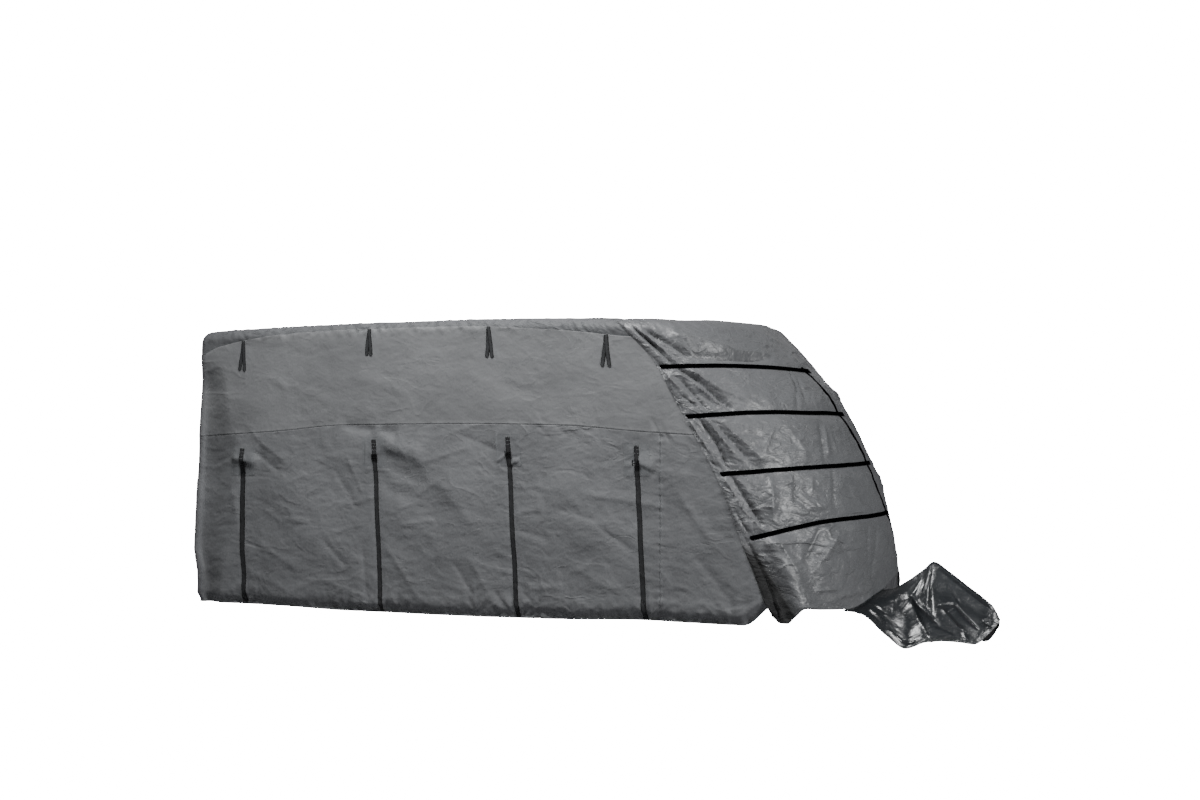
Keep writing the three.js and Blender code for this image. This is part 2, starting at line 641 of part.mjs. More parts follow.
// A closed body with its faces pointing out, whichever way its grid ran.
function closedGeometry(positions, faces) {
  const point = (i) => new THREE.Vector3(positions[3 * i], positions[3 * i + 1], positions[3 * i + 2]);
  let volume = 0;
  for (const [a, b, c] of faces) volume += point(a).dot(point(b).cross(point(c)));
  const index = faces.flatMap(([a, b, c]) => (volume > 0 ? [a, b, c] : [a, c, b]));
  const geometry = new THREE.BufferGeometry();
  geometry.setAttribute('position', new THREE.Float32BufferAttribute(positions, 3));
  geometry.setIndex(index);
  geometry.computeVertexNormals();
  return geometry;
}

const clothSide = new THREE.MeshStandardMaterial({ color: 0x5c6064, roughness: 0.75, metalness: 0 });
const clothFront = new THREE.MeshStandardMaterial({ color: 0x62666a, roughness: 0.6, metalness: 0 });
const clothHitch = new THREE.MeshStandardMaterial({ color: 0x454c50, roughness: 0.45, metalness: 0 });
const webbing = new THREE.MeshStandardMaterial({ color: 0x101114, roughness: 0.7, metalness: 0 });
const plastic = new THREE.MeshStandardMaterial({ color: 0x0c0d0f, roughness: 0.4, metalness: 0 });

function named(name, geometry, material) {
  const mesh = new THREE.Mesh(geometry, material.clone());
  mesh.name = name;
  return mesh;
}

const cover = new THREE.Group();

function addPanel(name, grid, material) {
  const mesh = named(name, sheetGeometry(drawnBack(grid), CLOTH), material);
  cover.add(mesh);
  return mesh;
}

const part = (wall, fromColumn, toColumn, fromRow, toRow) => wall.slice(fromColumn, toColumn + 1)
  .map((column) => column.slice(fromRow, toRow + 1));

for (const [side, wall] of [['near', near], ['far', far]]) {
  addPanel(`${side}_lower_rear`, part(wall, 0, VERTICAL_COLUMN, 0, LOWER_ROWS), clothSide);
  addPanel(`${side}_lower_front`, part(wall, VERTICAL_COLUMN, SIDE_COLUMNS, 0, LOWER_ROWS), clothSide);
  addPanel(`${side}_upper`, part(wall, 0, SIDE_COLUMNS, LOWER_ROWS, WALL_ROWS), clothSide);
}
addPanel('rear', rearWall(), clothSide);
addPanel('roof', roofPanel(), clothSide);
addPanel('front', frontPanel(), clothFront);

const caster = new THREE.Raycaster();

// The outermost cloth under a place, looked at against the outward direction.
function clothUnder(place, out, cloths) {
  const reach = 150;
  caster.set(place.clone().addScaledVector(out, reach), out.clone().negate());
  const hits = caster.intersectObjects(cloths, false);
  return hits.length > 0 ? hits[0].point : place;
}

// A strip of webbing or a patch that lies on the cloth. Each station of its path has a place, the way
// out, the way across and a width, and the strip's long edges and folds run at shares of that width.
// Its back is raised until it clears the cloth everywhere.
const SAMPLE_STEP = 4;
function lyingStrip(stations, shares, thickness, cloths) {
  const grid = stations.map((station) => shares.map((share) => {
    const place = station.p.clone().addScaledVector(station.across, station.width * share);
    return { p: clothUnder(place, station.out, cloths), out: station.out, lift: PIECE_GAP };
  }));
  for (let i = 0; i + 1 < grid.length; i += 1) {
    for (let j = 0; j + 1 < shares.length; j += 1) {
      const corners = [grid[i][j], grid[i + 1][j], grid[i][j + 1], grid[i + 1][j + 1]];
      const out = corners[0].out.clone().add(corners[1].out).normalize();
      const longSteps = Math.ceil(corners[0].p.distanceTo(corners[1].p) / SAMPLE_STEP);
      const wideSteps = Math.ceil(corners[0].p.distanceTo(corners[2].p) / SAMPLE_STEP);
      let short = 0;
      for (let a = 0; a <= longSteps; a += 1) {
        for (let b = 0; b <= wideSteps; b += 1) {
          const u = a / longSteps;
          const v = b / wideSteps;
          const back = onSplitCell(corners.map((corner) => corner.p), u, v);
          short = Math.max(short, clothUnder(back, out, cloths).sub(back).dot(out));
        }
      }
      for (const corner of corners) corner.lift = Math.max(corner.lift, short + PIECE_GAP);
    }
  }
  return grid.map((row) => row.map(({ p, out, lift }) => (
    { p: p.clone().addScaledVector(out, lift + thickness), out })));
}

// A place on a cell of a grid, which is two triangles that meet along the line from its first corner.
function onSplitCell([first, second, third, fourth], u, v) {
  const middle = u > v ? second : third;
  const place = first.clone().addScaledVector(middle.clone().sub(first), Math.max(u, v));
  return place.addScaledVector(fourth.clone().sub(middle), Math.min(u, v));
}

const TWO_EDGES = [-0.5, 0.5];
function addStrip(name, stations, shares, thickness, cloths, material) {
  const grid = lyingStrip(stations, shares, thickness, cloths);
  cover.add(named(name, sheetGeometry(grid, thickness), material));
}

const placed = (name) => cover.getObjectByName(name);

// A station on a side wall. The way out there is square to the wall's plane.
function wallStation(sign, x, z, width) {
  const p = new THREE.Vector3(x, sign * HALF, z);
  return { p, out: new THREE.Vector3(0, sign, 0), across: new THREE.Vector3(1, 0, 0), width };
}

// The patch under the mid seam, square on the cloth.
const PATCH = { width: 215, height: 240, thickness: 1.6, above: 20 };
function addPatch(side, sign, strap, number) {
  const stations = [];
  const top = strap.topZ + PATCH.above;
  for (let i = 0; i <= 4; i += 1) {
    const z = top - (PATCH.height * i) / 4;
    stations.push(wallStation(sign, strapX(strap, z), z, PATCH.width));
  }
  const strapShare = STRAP_WIDTH / 2 / PATCH.width;
  const shares = [-0.5, -strapShare, strapShare, 0.5];
  const cloths = [placed(`${side}_lower_rear`)];
  addStrip(`${side}_patch_${number}`, stations, shares, PATCH.thickness, cloths, clothSide);
}

// The strap runs from the top of its patch to the hem, with a station at each row of the wall.
function addStrap(side, sign, strap, number) {
  const stations = [];
  const count = 14;
  const hem = along(SIDE_LINES, 'x', 'hem', strap.hemX) + 6;
  for (let i = 0; i <= count; i += 1) {
    const z = mix(strap.topZ, hem, i / count);
    stations.push(wallStation(sign, strapX(strap, z), z, STRAP_WIDTH));
  }
  const cloths = [placed(`${side}_lower_rear`), placed(`${side}_patch_${number}`)];
  addStrip(`${side}_strap_${number}`, stations, TWO_EDGES, WEBBING, cloths, webbing);
}

// A ladder-lock buckle: its profile along the strap, with a bar at each end and one between them.
const BUCKLE = { width: 54, length: 42 };
const BUCKLE_PROFILE = [
  [0, 0], [BUCKLE.length, 0], [BUCKLE.length, 5], [39, 8], [34, 8], [31, 4.5], [26, 4.5], [24, 9],
  [19, 10], [16, 9], [14, 4.5], [9, 4.5], [7, 7], [3, 7], [0, 4],
];
function addBuckle(side, sign, strap, number) {
  const shape = new THREE.Shape(BUCKLE_PROFILE.map(([a, b]) => new THREE.Vector2(a, b)));
  const geometry = new THREE.ExtrudeGeometry(shape, { depth: BUCKLE.width, bevelEnabled: false });
  geometry.translate(-BUCKLE.length / 2, 0, -BUCKLE.width / 2);
  const buckle = named(`${side}_buckle_${number}`, geometry, plastic);
  const z = strap.buckleZ;
  const x = strapX(strap, z);
  const out = new THREE.Vector3(0, sign, 0);
  const cloths = ['lower_rear', 'patch', 'strap'].map((kind) => (
    placed(kind === 'lower_rear' ? `${side}_${kind}` : `${side}_${kind}_${number}`)));
  let reach = -Infinity;
  const shares = [-1, -0.71, -0.5, -0.25, 0, 0.25, 0.5, 0.71, 1];
  for (const dx of shares) {
    for (const dz of shares) {
      const place = new THREE.Vector3(x + (dx * BUCKLE.width) / 2, sign * HALF, z + (dz * BUCKLE.length) / 2);
      reach = Math.max(reach, clothUnder(place, out, cloths).dot(out));
    }
  }
  buckle.position.set(x, sign * (reach + PIECE_GAP), z);
  const downWay = new THREE.Vector3(0, 0, -1);
  const widthWay = new THREE.Vector3(sign, 0, 0);
  buckle.setRotationFromMatrix(new THREE.Matrix4().makeBasis(downWay, out, widthWay));
  cover.add(buckle);
}

// Two tapes hang from the edge seam, each with a rounded end, the second one over the first.
function addTies(side, sign, tie, number) {
  const first = `${side}_tie_${number}a`;
  const second = `${side}_tie_${number}b`;
  for (const [name, shift] of [[first, -tie.left], [second, tie.right]]) {
    const stations = [];
    const top = along(SIDE_LINES, 'x', 'edge', tie.x) - 2;
    const shares = [0, 0.12, 0.3, 0.5, 0.7, 0.88, 0.96, 1];
    for (const share of shares) {
      const z = top - tie.length * share;
      const x = tie.x + shift * share;
      const width = TIE_WIDTH * (share < 0.9 ? 1 : Math.sqrt(1 - ((share - 0.9) / 0.11) ** 2));
      stations.push(wallStation(sign, x, z, width));
    }
    const cloths = [placed(`${side}_upper`)];
    if (name === second) cloths.push(placed(first));
    addStrip(name, stations, TWO_EDGES, WEBBING, cloths, webbing);
  }
}

for (const [side, sign] of [['near', -1], ['far', 1]]) {
  STRAPS.forEach((strap, i) => {
    addPatch(side, sign, strap, i + 1);
    addStrap(side, sign, strap, i + 1);
    addBuckle(side, sign, strap, i + 1);
  });
  TIES.forEach((tie, i) => addTies(side, sign, tie, i + 1));
}

// Where the hitch cover is sewn in: two rows of it lie on the inside of the front panel, from a little
// above its hem, and a third leads out under the hem.
const TUCK = { low: 8, high: 46, leadDown: 26, leadIn: 6 };
function tuckedRows() {
  const stations = [];
  for (let j = -HITCH_HALF; j <= HITCH_HALF; j += 1) {
    const y = Math.sign(j) * HITCH_LINES[0].half * hitchAcross(Math.abs(j) / HITCH_HALF);
    const turn = THREE.MathUtils.radToDeg(Math.asin(y / HALF));
    const height = along(FRONT_HEM, 'y', 'z', y) + (TUCK.low + TUCK.high) / 2;
    const station = frontStation(turn, height, 'up', TUCK.high - TUCK.low);
    stations.push({ ...station, out: station.out.negate() });
  }
  const lying = lyingStrip(stations, [0.5, -0.5], CLOTH, [placed('front')]);
  const rows = [0, 1].map((k) => lying.map((pair) => (
    { p: pair[k].p.clone().addScaledVector(pair[k].out, -CLOTH), out: pair[k].out.clone().negate() })));
  rows.push(rows[1].map(({ p, out }) => {
    const lead = p.clone().addScaledVector(out, -TUCK.leadIn);
    lead.z -= TUCK.leadDown;
    return { p: lead, out };
  }));
  return rows;
}

// A station on the front panel: its place on the smooth form and the way out of it.
function frontStation(turn, z, acrossWay, width) {
  const p = frontRing(turn, z);
  const step = 0.5;
  const sideways = frontRing(turn + step, z).sub(frontRing(turn - step, z));
  const up = frontRing(turn, z + 5).sub(frontRing(turn, z - 5));
  const out = sideways.clone().cross(up).normalize();
  const across = acrossWay === 'up' ? up.normalize() : sideways.normalize();
  return { p, out, across, width };
}

// The webbing is laid first, and the bands cross over it.
function addFrontWebbing() {
  const stations = [];
  const count = 18;
  for (let i = 0; i <= count; i += 1) {
    const z = mix(UPRIGHT.top, UPRIGHT.bottom, i / count);
    stations.push(frontStation(along(FRONT_WEBBING, 'z', 'turn', z), z, 'sideways', UPRIGHT.width));
  }
  addStrip('front_webbing', stations, TWO_EDGES, WEBBING, [placed('front')], webbing);
}

function addBand(band, number) {
  const table = [
    { turn: band.startTurn, z: band.startZ },
    { turn: (band.endTurn + band.startTurn) / 2, z: band.middleZ },
    { turn: band.endTurn, z: band.endZ },
  ];
  const stations = [];
  const count = 24;
  for (let i = 0; i <= count; i += 1) {
    const turn = mix(band.startTurn, band.endTurn, i / count);
    stations.push(frontStation(turn, along(table, 'turn', 'z', turn), 'up', BAND_WIDTH));
  }
  const cloths = [placed('front'), placed('front_webbing')];
  addStrip(`front_band_${number}`, stations, TWO_EDGES, WEBBING, cloths, webbing);
}
addPanel('hitch_cover', [...tuckedRows(), ...hitchPanel()], clothHitch);
addFrontWebbing();
BANDS.forEach((band, i) => addBand(band, i + 1));

// Webbing down each rear corner, on the rear wall beside the corner seam.
const REAR_WEBBING = { top: 1720, bottom: 8, inside: 20 };
function addRearWebbing(side, sign) {
  const stations = [];
  const count = 12;
  const out = new THREE.Vector3(-1, 0, 0);
  const across = new THREE.Vector3(0, 1, 0);
  for (let i = 0; i <= count; i += 1) {
    const z = mix(REAR_WEBBING.top, REAR_WEBBING.bottom, i / count);
    const p = new THREE.Vector3(0, sign * (INNER - REAR_WEBBING.inside), z);
    stations.push({ p, out, across, width: STRAP_WIDTH });
  }
  addStrip(`${side}_rear_webbing`, stations, TWO_EDGES, WEBBING, [placed('rear')], webbing);
}
addRearWebbing('near', -1);
addRearWebbing('far', 1);

// The whole cover is lowered so that the mount under the roof cloth is at the origin.
const MOUNT = { x: 2600, z: along(SIDE_LINES, 'x', 'roof', 2600) + CROWN - CLOTH };
cover.position.set(-MOUNT.x, 0, -MOUNT.z);

const holder = new THREE.Group();
holder.add(cover);
export default holder;
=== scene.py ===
# %% [markdown]
# A fitted caravan cover, dressed in Blender
#
# A fitted cover is sewn from flat panels of coated cloth and drawn over the vehicle, where straps and
# bands hold it in. What one sees is mostly cloth: broad soft swells, long pulls towards the straps, and
# tight gathers along the hem. This lesson makes each panel as a fine grid of points on one smooth form,
# pushes the points in and out by tables of folds, and then adds webbing, buckles and stitches.

# %% Load the frame
import math
from functools import partial

import bmesh
import bpy
import numpy as np
from mathutils import Matrix, Vector


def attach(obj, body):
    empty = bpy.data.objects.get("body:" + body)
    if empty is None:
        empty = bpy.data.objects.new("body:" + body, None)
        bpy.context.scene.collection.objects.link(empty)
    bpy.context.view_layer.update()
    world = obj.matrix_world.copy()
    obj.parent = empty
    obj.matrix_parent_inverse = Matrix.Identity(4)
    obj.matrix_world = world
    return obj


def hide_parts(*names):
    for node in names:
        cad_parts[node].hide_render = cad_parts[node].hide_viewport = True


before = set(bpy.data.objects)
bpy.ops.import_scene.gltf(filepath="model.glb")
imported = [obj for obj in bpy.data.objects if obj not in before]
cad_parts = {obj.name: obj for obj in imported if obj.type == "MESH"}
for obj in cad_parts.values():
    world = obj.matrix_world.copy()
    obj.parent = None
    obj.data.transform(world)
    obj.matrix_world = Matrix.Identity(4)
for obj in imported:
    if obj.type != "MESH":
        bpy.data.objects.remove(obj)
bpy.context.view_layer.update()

# %% [markdown]
# The camera comes first, because all looks are judged through it. It stands well off the near front
# corner at a person's height and looks very slightly up, so the long side is seen at a slant and the
# roof shows only as its rounded edge. A long lens keeps the upright seams parallel.

# %% Camera
LENS_MM, SENSOR_MM = 58.8, 36.0
CAMERA_TURN = math.radians(28.6)
CAMERA_TILT = math.radians(-1.43)
CAMERA_PLACE = Vector((8.048, -13.651, -1.019))

def make_camera():
    data = bpy.data.cameras.new("camera")
    data.lens = LENS_MM
    data.sensor_width = SENSOR_MM
    data.clip_end = 200.0
    camera = bpy.data.objects.new("camera", data)
    bpy.context.scene.collection.objects.link(camera)
    back = Vector((
        math.sin(CAMERA_TURN) * math.cos(CAMERA_TILT),
        -math.cos(CAMERA_TURN) * math.cos(CAMERA_TILT),
        math.sin(CAMERA_TILT),
    ))
    camera.location = CAMERA_PLACE
    camera.rotation_mode = "QUATERNION"
    camera.rotation_quaternion = (-back).to_track_quat("-Z", "Y")
    bpy.context.scene.camera = camera

make_camera()
print("camera at", tuple(round(c, 3) for c in CAMERA_PLACE))

# %% [markdown]
# A studio for a long object needs a floor without an edge in sight. The camera sees floor and world
# pale, while both send little light back to the object, because light from all sides would wash its
# folds out. A large lamp hangs high beside the near side, so that its light falls steeply along the wall
# and each fold has a lit and a shaded flank. A weaker one ahead of the nose lifts the folds of the front,
# and one behind the far rear corner shows the walls that the camera never sees.

# %% Floor, world and lamps
FLOOR_Z, FLOOR_RADIUS, FLOOR_CORNERS = -2.607, 90.0, 96
PALE = (0.86, 0.87, 0.88)
FLOOR_SENT = (0.22, 0.22, 0.23)
FLOOR_GLOW = (22.0, 22.0, 22.0)
WORLD_SEEN = (26.0, 26.0, 26.0)
WORLD_SENT = (0.07, 0.072, 0.076)

# Each lamp: its place, what it looks at, its two sides in metres, and its power in watts.
LAMPS = {
    "key_lamp": ((0.2, -3.6, 4.4), (-0.3, -1.0, -1.0), (2.0, 1.4), 655),
    "nose_lamp": ((8.1, -2.7, 0.8), (2.9, -0.5, -1.6), (1.1, 1.1), 405),
    "rear_lamp": ((-7.0, 7.0, -0.3), (0.0, 0.8, -1.2), (2.4, 1.8), 1100),
}

def plain_material(name, colour, roughness):
    material = bpy.data.materials.new(name)
    material.use_nodes = True
    shader = material.node_tree.nodes["Principled BSDF"]
    shader.inputs["Base Color"].default_value = (*colour, 1.0)
    shader.inputs["Roughness"].default_value = roughness
    return material

def colour_mix(tree, factor, a, b):
    """Colour a where the factor is 0 and b where it is 1. Each is a colour or a socket."""
    node = tree.nodes.new("ShaderNodeMix")
    node.data_type = "RGBA"
    tree.links.new(factor, node.inputs["Factor"])
    for label, value in (("A", a), ("B", b)):
        if isinstance(value, tuple):
            node.inputs[label].default_value = (*value, 1.0)
        else:
            tree.links.new(value, node.inputs[label])
    return node.outputs["Result"]

def seen_and_sent(tree, seen, sent):
    """A colour that is one thing to the camera and another to the light that bounces."""
    path = tree.nodes.new("ShaderNodeLightPath")
    return colour_mix(tree, path.outputs["Is Camera Ray"], sent, seen)

def floor_material():
    material = plain_material("studio_floor", PALE, 0.95)
    tree = material.node_tree
    shader = tree.nodes["Principled BSDF"]
    tree.links.new(seen_and_sent(tree, PALE, FLOOR_SENT), shader.inputs["Base Color"])
    tree.links.new(seen_and_sent(tree, FLOOR_GLOW, (0.0, 0.0, 0.0)), shader.inputs["Emission Color"])
    shader.inputs["Emission Strength"].default_value = 1.0
    return material

def make_floor():
    mesh = bpy.data.meshes.new("floor")
    turns = [2 * math.pi / FLOOR_CORNERS * i for i in range(FLOOR_CORNERS)]
    ring = [(FLOOR_RADIUS * math.cos(turn), FLOOR_RADIUS * math.sin(turn), FLOOR_Z) for turn in turns]
    mesh.from_pydata(ring, [], [tuple(range(FLOOR_CORNERS))])
    floor = bpy.data.objects.new("floor", mesh)
    bpy.context.scene.collection.objects.link(floor)
    mesh.materials.append(floor_material())

def make_world():
    world = bpy.data.worlds.new("studio")
    bpy.context.scene.world = world
    world.use_nodes = True
    tree = world.node_tree
    background = tree.nodes["Background"]
    tree.links.new(seen_and_sent(tree, WORLD_SEEN, WORLD_SENT), background.inputs["Color"])

def make_lamp(name, place, aim, size, power):
    data = bpy.data.lights.new(name, "AREA")
    data.shape = "RECTANGLE"
    data.size, data.size_y = size
    data.energy = power
    lamp = bpy.data.objects.new(name, data)
    bpy.context.scene.collection.objects.link(lamp)
    lamp.location = place
    lamp.rotation_mode = "QUATERNION"
    lamp.rotation_quaternion = (Vector(aim) - Vector(place)).to_track_quat("-Z", "Y")

make_floor()
make_world()
for name, values in LAMPS.items():
    make_lamp(name, *values)
print("floor at", FLOOR_Z, "with", len(bpy.data.lights), "lamps")

# %% [markdown]
# The cover is drawn as one skin. Curves give the heights of the hem, the seams and the roof along its
# length, and how far the front reaches at each height. A smooth curve through a few measured places is
# how a pattern maker draws a panel, and it keeps neighbouring panels parallel.

# %% Sizes and curves of the cover
SIDES = {"near": -1, "far": 1}
HALF = 1.06
EDGE_RADIUS = 0.09
INNER = HALF - EDGE_RADIUS
QUARTER = EDGE_RADIUS * math.pi / 2
CROWN = 0.03
VERTICAL_SEAM = 4.275
MID_MEETS_FRONT = 1.352
EDGE_MEETS_FRONT = 2.076
MOUNT_X, ROOF_THICKNESS = 2.6, 0.002

# The side is drawn in round its rear corner, and more so in its lower half. The corner itself leans in
# by a share of that, which ends a reach ahead of it.
HOLLOW, HOLLOW_BELOW, LEAN_SHARE, LEAN_REACH = 0.062, 0.030, 0.27, 0.7

def fade(f):
    """0 up to f = 0 and 1 from f = 1 on, with a smooth rise between."""
    c = np.clip(f, 0.0, 1.0)
    return c * c * (3 - 2 * c)

def mix(a, b, f):
    return a + (b - a) * f

def curve(places, values):
    """A smooth curve through the values, which never swings past them."""
    places, values = np.asarray(places, float), np.asarray(values, float)
    slope = np.diff(values) / np.diff(places)
    before, after = slope[:-1], slope[1:]
    total = np.where(before * after > 0, before + after, 1.0)
    inner = np.where(before * after > 0, 2 * before * after / total, 0.0)
    ends = np.concatenate([slope[:1], inner, slope[-1:]])

    def read(at):
        at = np.clip(at, places[0], places[-1])
        i = np.clip(np.searchsorted(places, at, side="right") - 1, 0, len(places) - 2)
        span = places[i + 1] - places[i]
        f = (at - places[i]) / span
        rise = (values[i + 1] - values[i]) * f * f * (3 - 2 * f)
        return values[i] + rise + span * f * (1 - f) * (ends[i] * (1 - f) - ends[i + 1] * f)
    return read

SIDE_PLACES = (0, 0.25, 0.83, 1.5, 2.52, 3.445, 4.14, 4.88, 5.106)
hem_z = curve(SIDE_PLACES, (0, 0.003, 0.002, -0.012, -0.011, 0, 0.021, 0.016, 0.142))
mid_z = curve(SIDE_PLACES, (1.36, 1.372, 1.401, 1.446, 1.45, 1.434, 1.382, 1.336, 1.32))
edge_z = curve(SIDE_PLACES, (1.998, 2.1, 2.176, 2.2, 2.196, 2.142, 2.072, 2.062, 2.06))
roof_z = curve(SIDE_PLACES, (2.218, 2.232, 2.244, 2.251, 2.25, 2.234, 2.196, 2.184, 2.18))

FRONT_HEIGHTS = (0, 0.35, 0.63, 0.94, 1.16, 1.34, 1.6, 1.91, 2.08, 2.165, 2.2)
FRONT_TOP = FRONT_HEIGHTS[-1]
seam_x = curve(FRONT_HEIGHTS, (5.165, 5.028, 4.902, 4.777, 4.668, 4.56, 4.4, 4.207, 4.034, 3.925, 3.831))
nose_x = curve(FRONT_HEIGHTS, (5.598, 5.568, 5.53, 5.466, 5.384, 5.298, 5.143, 4.88, 4.695, 4.58, 4.3))
front_hem_z = curve(
    (-1.06, -1.0594, -1.053, -1.033, -1.0, -0.955, -0.56, -0.24, 0.05, 0.48, 0.8, 1.06),
    (0.142, 0.09, 0.046, 0.04, 0.08, 0.131, 0.122, 0.193, 0.256, 0.33, 0.205, 0.142),
)
rear_lean_x = curve(
    (0, 0.25, 0.45, 0.89, 1.45, 1.75, 2.25), (-0.03, -0.038, -0.076, -0.052, -0.027, -0.012, 0.007)
)

SEAM_MID = seam_x(MID_MEETS_FRONT)
SEAM_EDGE = seam_x(EDGE_MEETS_FRONT)
SEAM_TOP = seam_x(FRONT_TOP)
MOUNT = np.array((MOUNT_X, 0.0, roof_z(MOUNT_X) + CROWN - ROOF_THICKNESS))

def hollow_depth(z):
    return (HOLLOW + HOLLOW_BELOW * fade((1.45 - z) / 0.5)) * fade((2.04 - z) / 0.35)

def rear_lean(x, z):
    lean = rear_lean_x(z) - LEAN_SHARE * hollow_depth(z)
    return lean * (1 - fade((x - EDGE_RADIUS) / LEAN_REACH))

def edge_x(x):
    """The place on the edge seam above a place on the mid seam."""
    return x - (SEAM_MID - SEAM_EDGE) * (x / SEAM_MID) ** 4

def top_x(x):
    """The place on the roof's border above a place on the edge seam."""
    return x - (SEAM_EDGE - SEAM_TOP) * (x / SEAM_EDGE) ** 6

def crown_at(y):
    return CROWN * (1 - (y / INNER) ** 2)

def down_to(roof, z):
    """Metres of cloth from the roof's border over the rounded edge down to a height."""
    drop = roof - z
    arc = EDGE_RADIUS * np.arccos(np.clip(1 - drop / EDGE_RADIUS, 0.0, 1.0))
    return np.where(drop >= EDGE_RADIUS, QUARTER + drop - EDGE_RADIUS, arc)

print("mount in the cover's own measure:", [round(float(v), 4) for v in MOUNT])

# %% [markdown]
# Cloth never hangs evenly. Gradient noise from fixed seeds gives the small unevenness that no table
# could list. A lattice of fixed directions is blended smoothly, so the same place always gives the same
# height, and two panels that share a seam agree along it.

# %% Seeded unevenness
def make_noise(seed, size=64):
    turn = np.random.default_rng(seed).uniform(0, 2 * np.pi, (size, size))
    way_x, way_z = np.cos(turn), np.sin(turn)

    def read(x, z):
        x, z = np.broadcast_arrays(np.asarray(x, float), np.asarray(z, float))
        low_x, low_z = np.floor(x).astype(int), np.floor(z).astype(int)
        fx, fz = x - low_x, z - low_z
        soft_x = fx ** 3 * (fx * (6 * fx - 15) + 10)
        soft_z = fz ** 3 * (fz * (6 * fz - 15) + 10)
        corner = []
        for i in (0, 1):
            for j in (0, 1):
                a, b = (low_x + i) % size, (low_z + j) % size
                corner.append(way_x[a, b] * (fx - i) + way_z[a, b] * (fz - j))
        near_end = mix(corner[0], corner[1], soft_z)
        far_end = mix(corner[2], corner[3], soft_z)
        return 1.5 * mix(near_end, far_end, soft_x)
    return read

noise = [make_noise(seed) for seed in range(11, 23)]
print("noise sources:", len(noise))

# %% [markdown]
# The main creases are listed one by one. A row of a table is one soft trough or ridge, from one place on
# the laid-out cloth to another: x and z of both ends, its width at both ends, and its depth, where a
# negative one is a trough. The upper flank of a fold is wide and the lower one steep, as cloth hangs.

# %% Folds from tables
# The lower flank's share of the upper one's width, how sharply a crest falls off and how round it is, and
# the share of its length by which a fold runs past its ends and fades there.
LOWER_FLANK, CREST_FALL, CREST_ROUND, PAST_ENDS, END_FADE = 0.62, 1.7, 0.3, 0.16, 0.34

def fold_relief(table, x, z, soft=False):
    height = np.zeros(np.broadcast(x, z).shape)
    for x0, z0, x1, z1, width0, width1, depth in table:
        run_x, run_z = x1 - x0, z1 - z0
        length = math.hypot(run_x, run_z)
        share = ((x - x0) * run_x + (z - z0) * run_z) / length ** 2
        across = ((z - z0) * run_x - (x - x0) * run_z) / length
        width = mix(width0, width1, np.clip(share, 0, 1))
        side = np.where(across > 0, across / width, across / (LOWER_FLANK * width))
        crest = np.exp(-CREST_FALL * (np.sqrt(side * side + CREST_ROUND ** 2) - CREST_ROUND))
        shape = np.exp(-side * side) if soft else crest
        start, end = fade((share + PAST_ENDS) / END_FADE), fade((1 + PAST_ENDS - share) / END_FADE)
        height += depth * shape * start * end
    return height

def crumple(x, z, reach, depth, turns, width=0.022):
    """Rows for a star of short creases, a trough and a ridge in turn, at these turns in degrees."""
    rows = []
    for i, turn in enumerate(turns):
        a = math.radians(turn)
        start, end = 0.18 * reach, reach * (1 - 0.14 * (i % 3))
        rows.append((
            x + start * math.cos(a), z + start * math.sin(a), x + end * math.cos(a), z + end * math.sin(a),
            width * 0.6, width, depth * (1 if i % 2 else -1),
        ))
    return rows

# Swells have the same columns, but no crest: they are broad and round.
NEAR_SWELLS = [
    (1.50, 1.43, 1.76, 1.400, 0.05, 0.06, -0.013),
    (1.83, 1.400, 1.99, 1.37, 0.05, 0.06, -0.013),
    (1.86, 1.30, 2.22, 1.19, 0.08, 0.08, 0.017),
    (1.90, 1.12, 2.25, 1.00, 0.08, 0.08, -0.012),
    (1.84, 1.00, 2.16, 0.86, 0.08, 0.08, -0.010),
    (0.80, 1.00, 1.20, 0.50, 0.22, 0.22, 0.010),
    (1.30, 1.15, 1.50, 0.60, 0.16, 0.18, -0.008),
    (2.45, 1.10, 2.62, 0.40, 0.18, 0.18, 0.008),
    (3.40, 1.05, 3.75, 0.55, 0.20, 0.22, 0.010),
    (4.45, 1.20, 4.50, 0.40, 0.18, 0.18, 0.010),
]

# Creases at the patches, which keep their full depth.
NEAR_LEDGES = [
    (0.395, 1.190, 0.625, 1.150, 0.110, 0.100, 0.030),
    (0.430, 1.300, 0.470, 1.190, 0.040, 0.040, -0.006),
    (4.080, 1.165, 4.215, 1.110, 0.080, 0.090, 0.024),
    (4.060, 1.150, 3.970, 1.130, 0.040, 0.040, 0.005),
    (1.700, 1.300, 1.690, 1.130, 0.014, 0.016, 0.004),
    (1.690, 1.105, 1.900, 1.085, 0.014, 0.018, 0.005),
    (2.885, 1.380, 2.880, 1.240, 0.013, 0.015, 0.008),
    (2.890, 1.160, 2.985, 1.215, 0.011, 0.014, 0.009),
    (2.900, 1.125, 2.965, 1.095, 0.011, 0.013, 0.006),
    (3.010, 1.140, 3.090, 1.175, 0.011, 0.014, 0.008),
    (3.020, 1.195, 3.110, 1.205, 0.013, 0.013, -0.007),
]

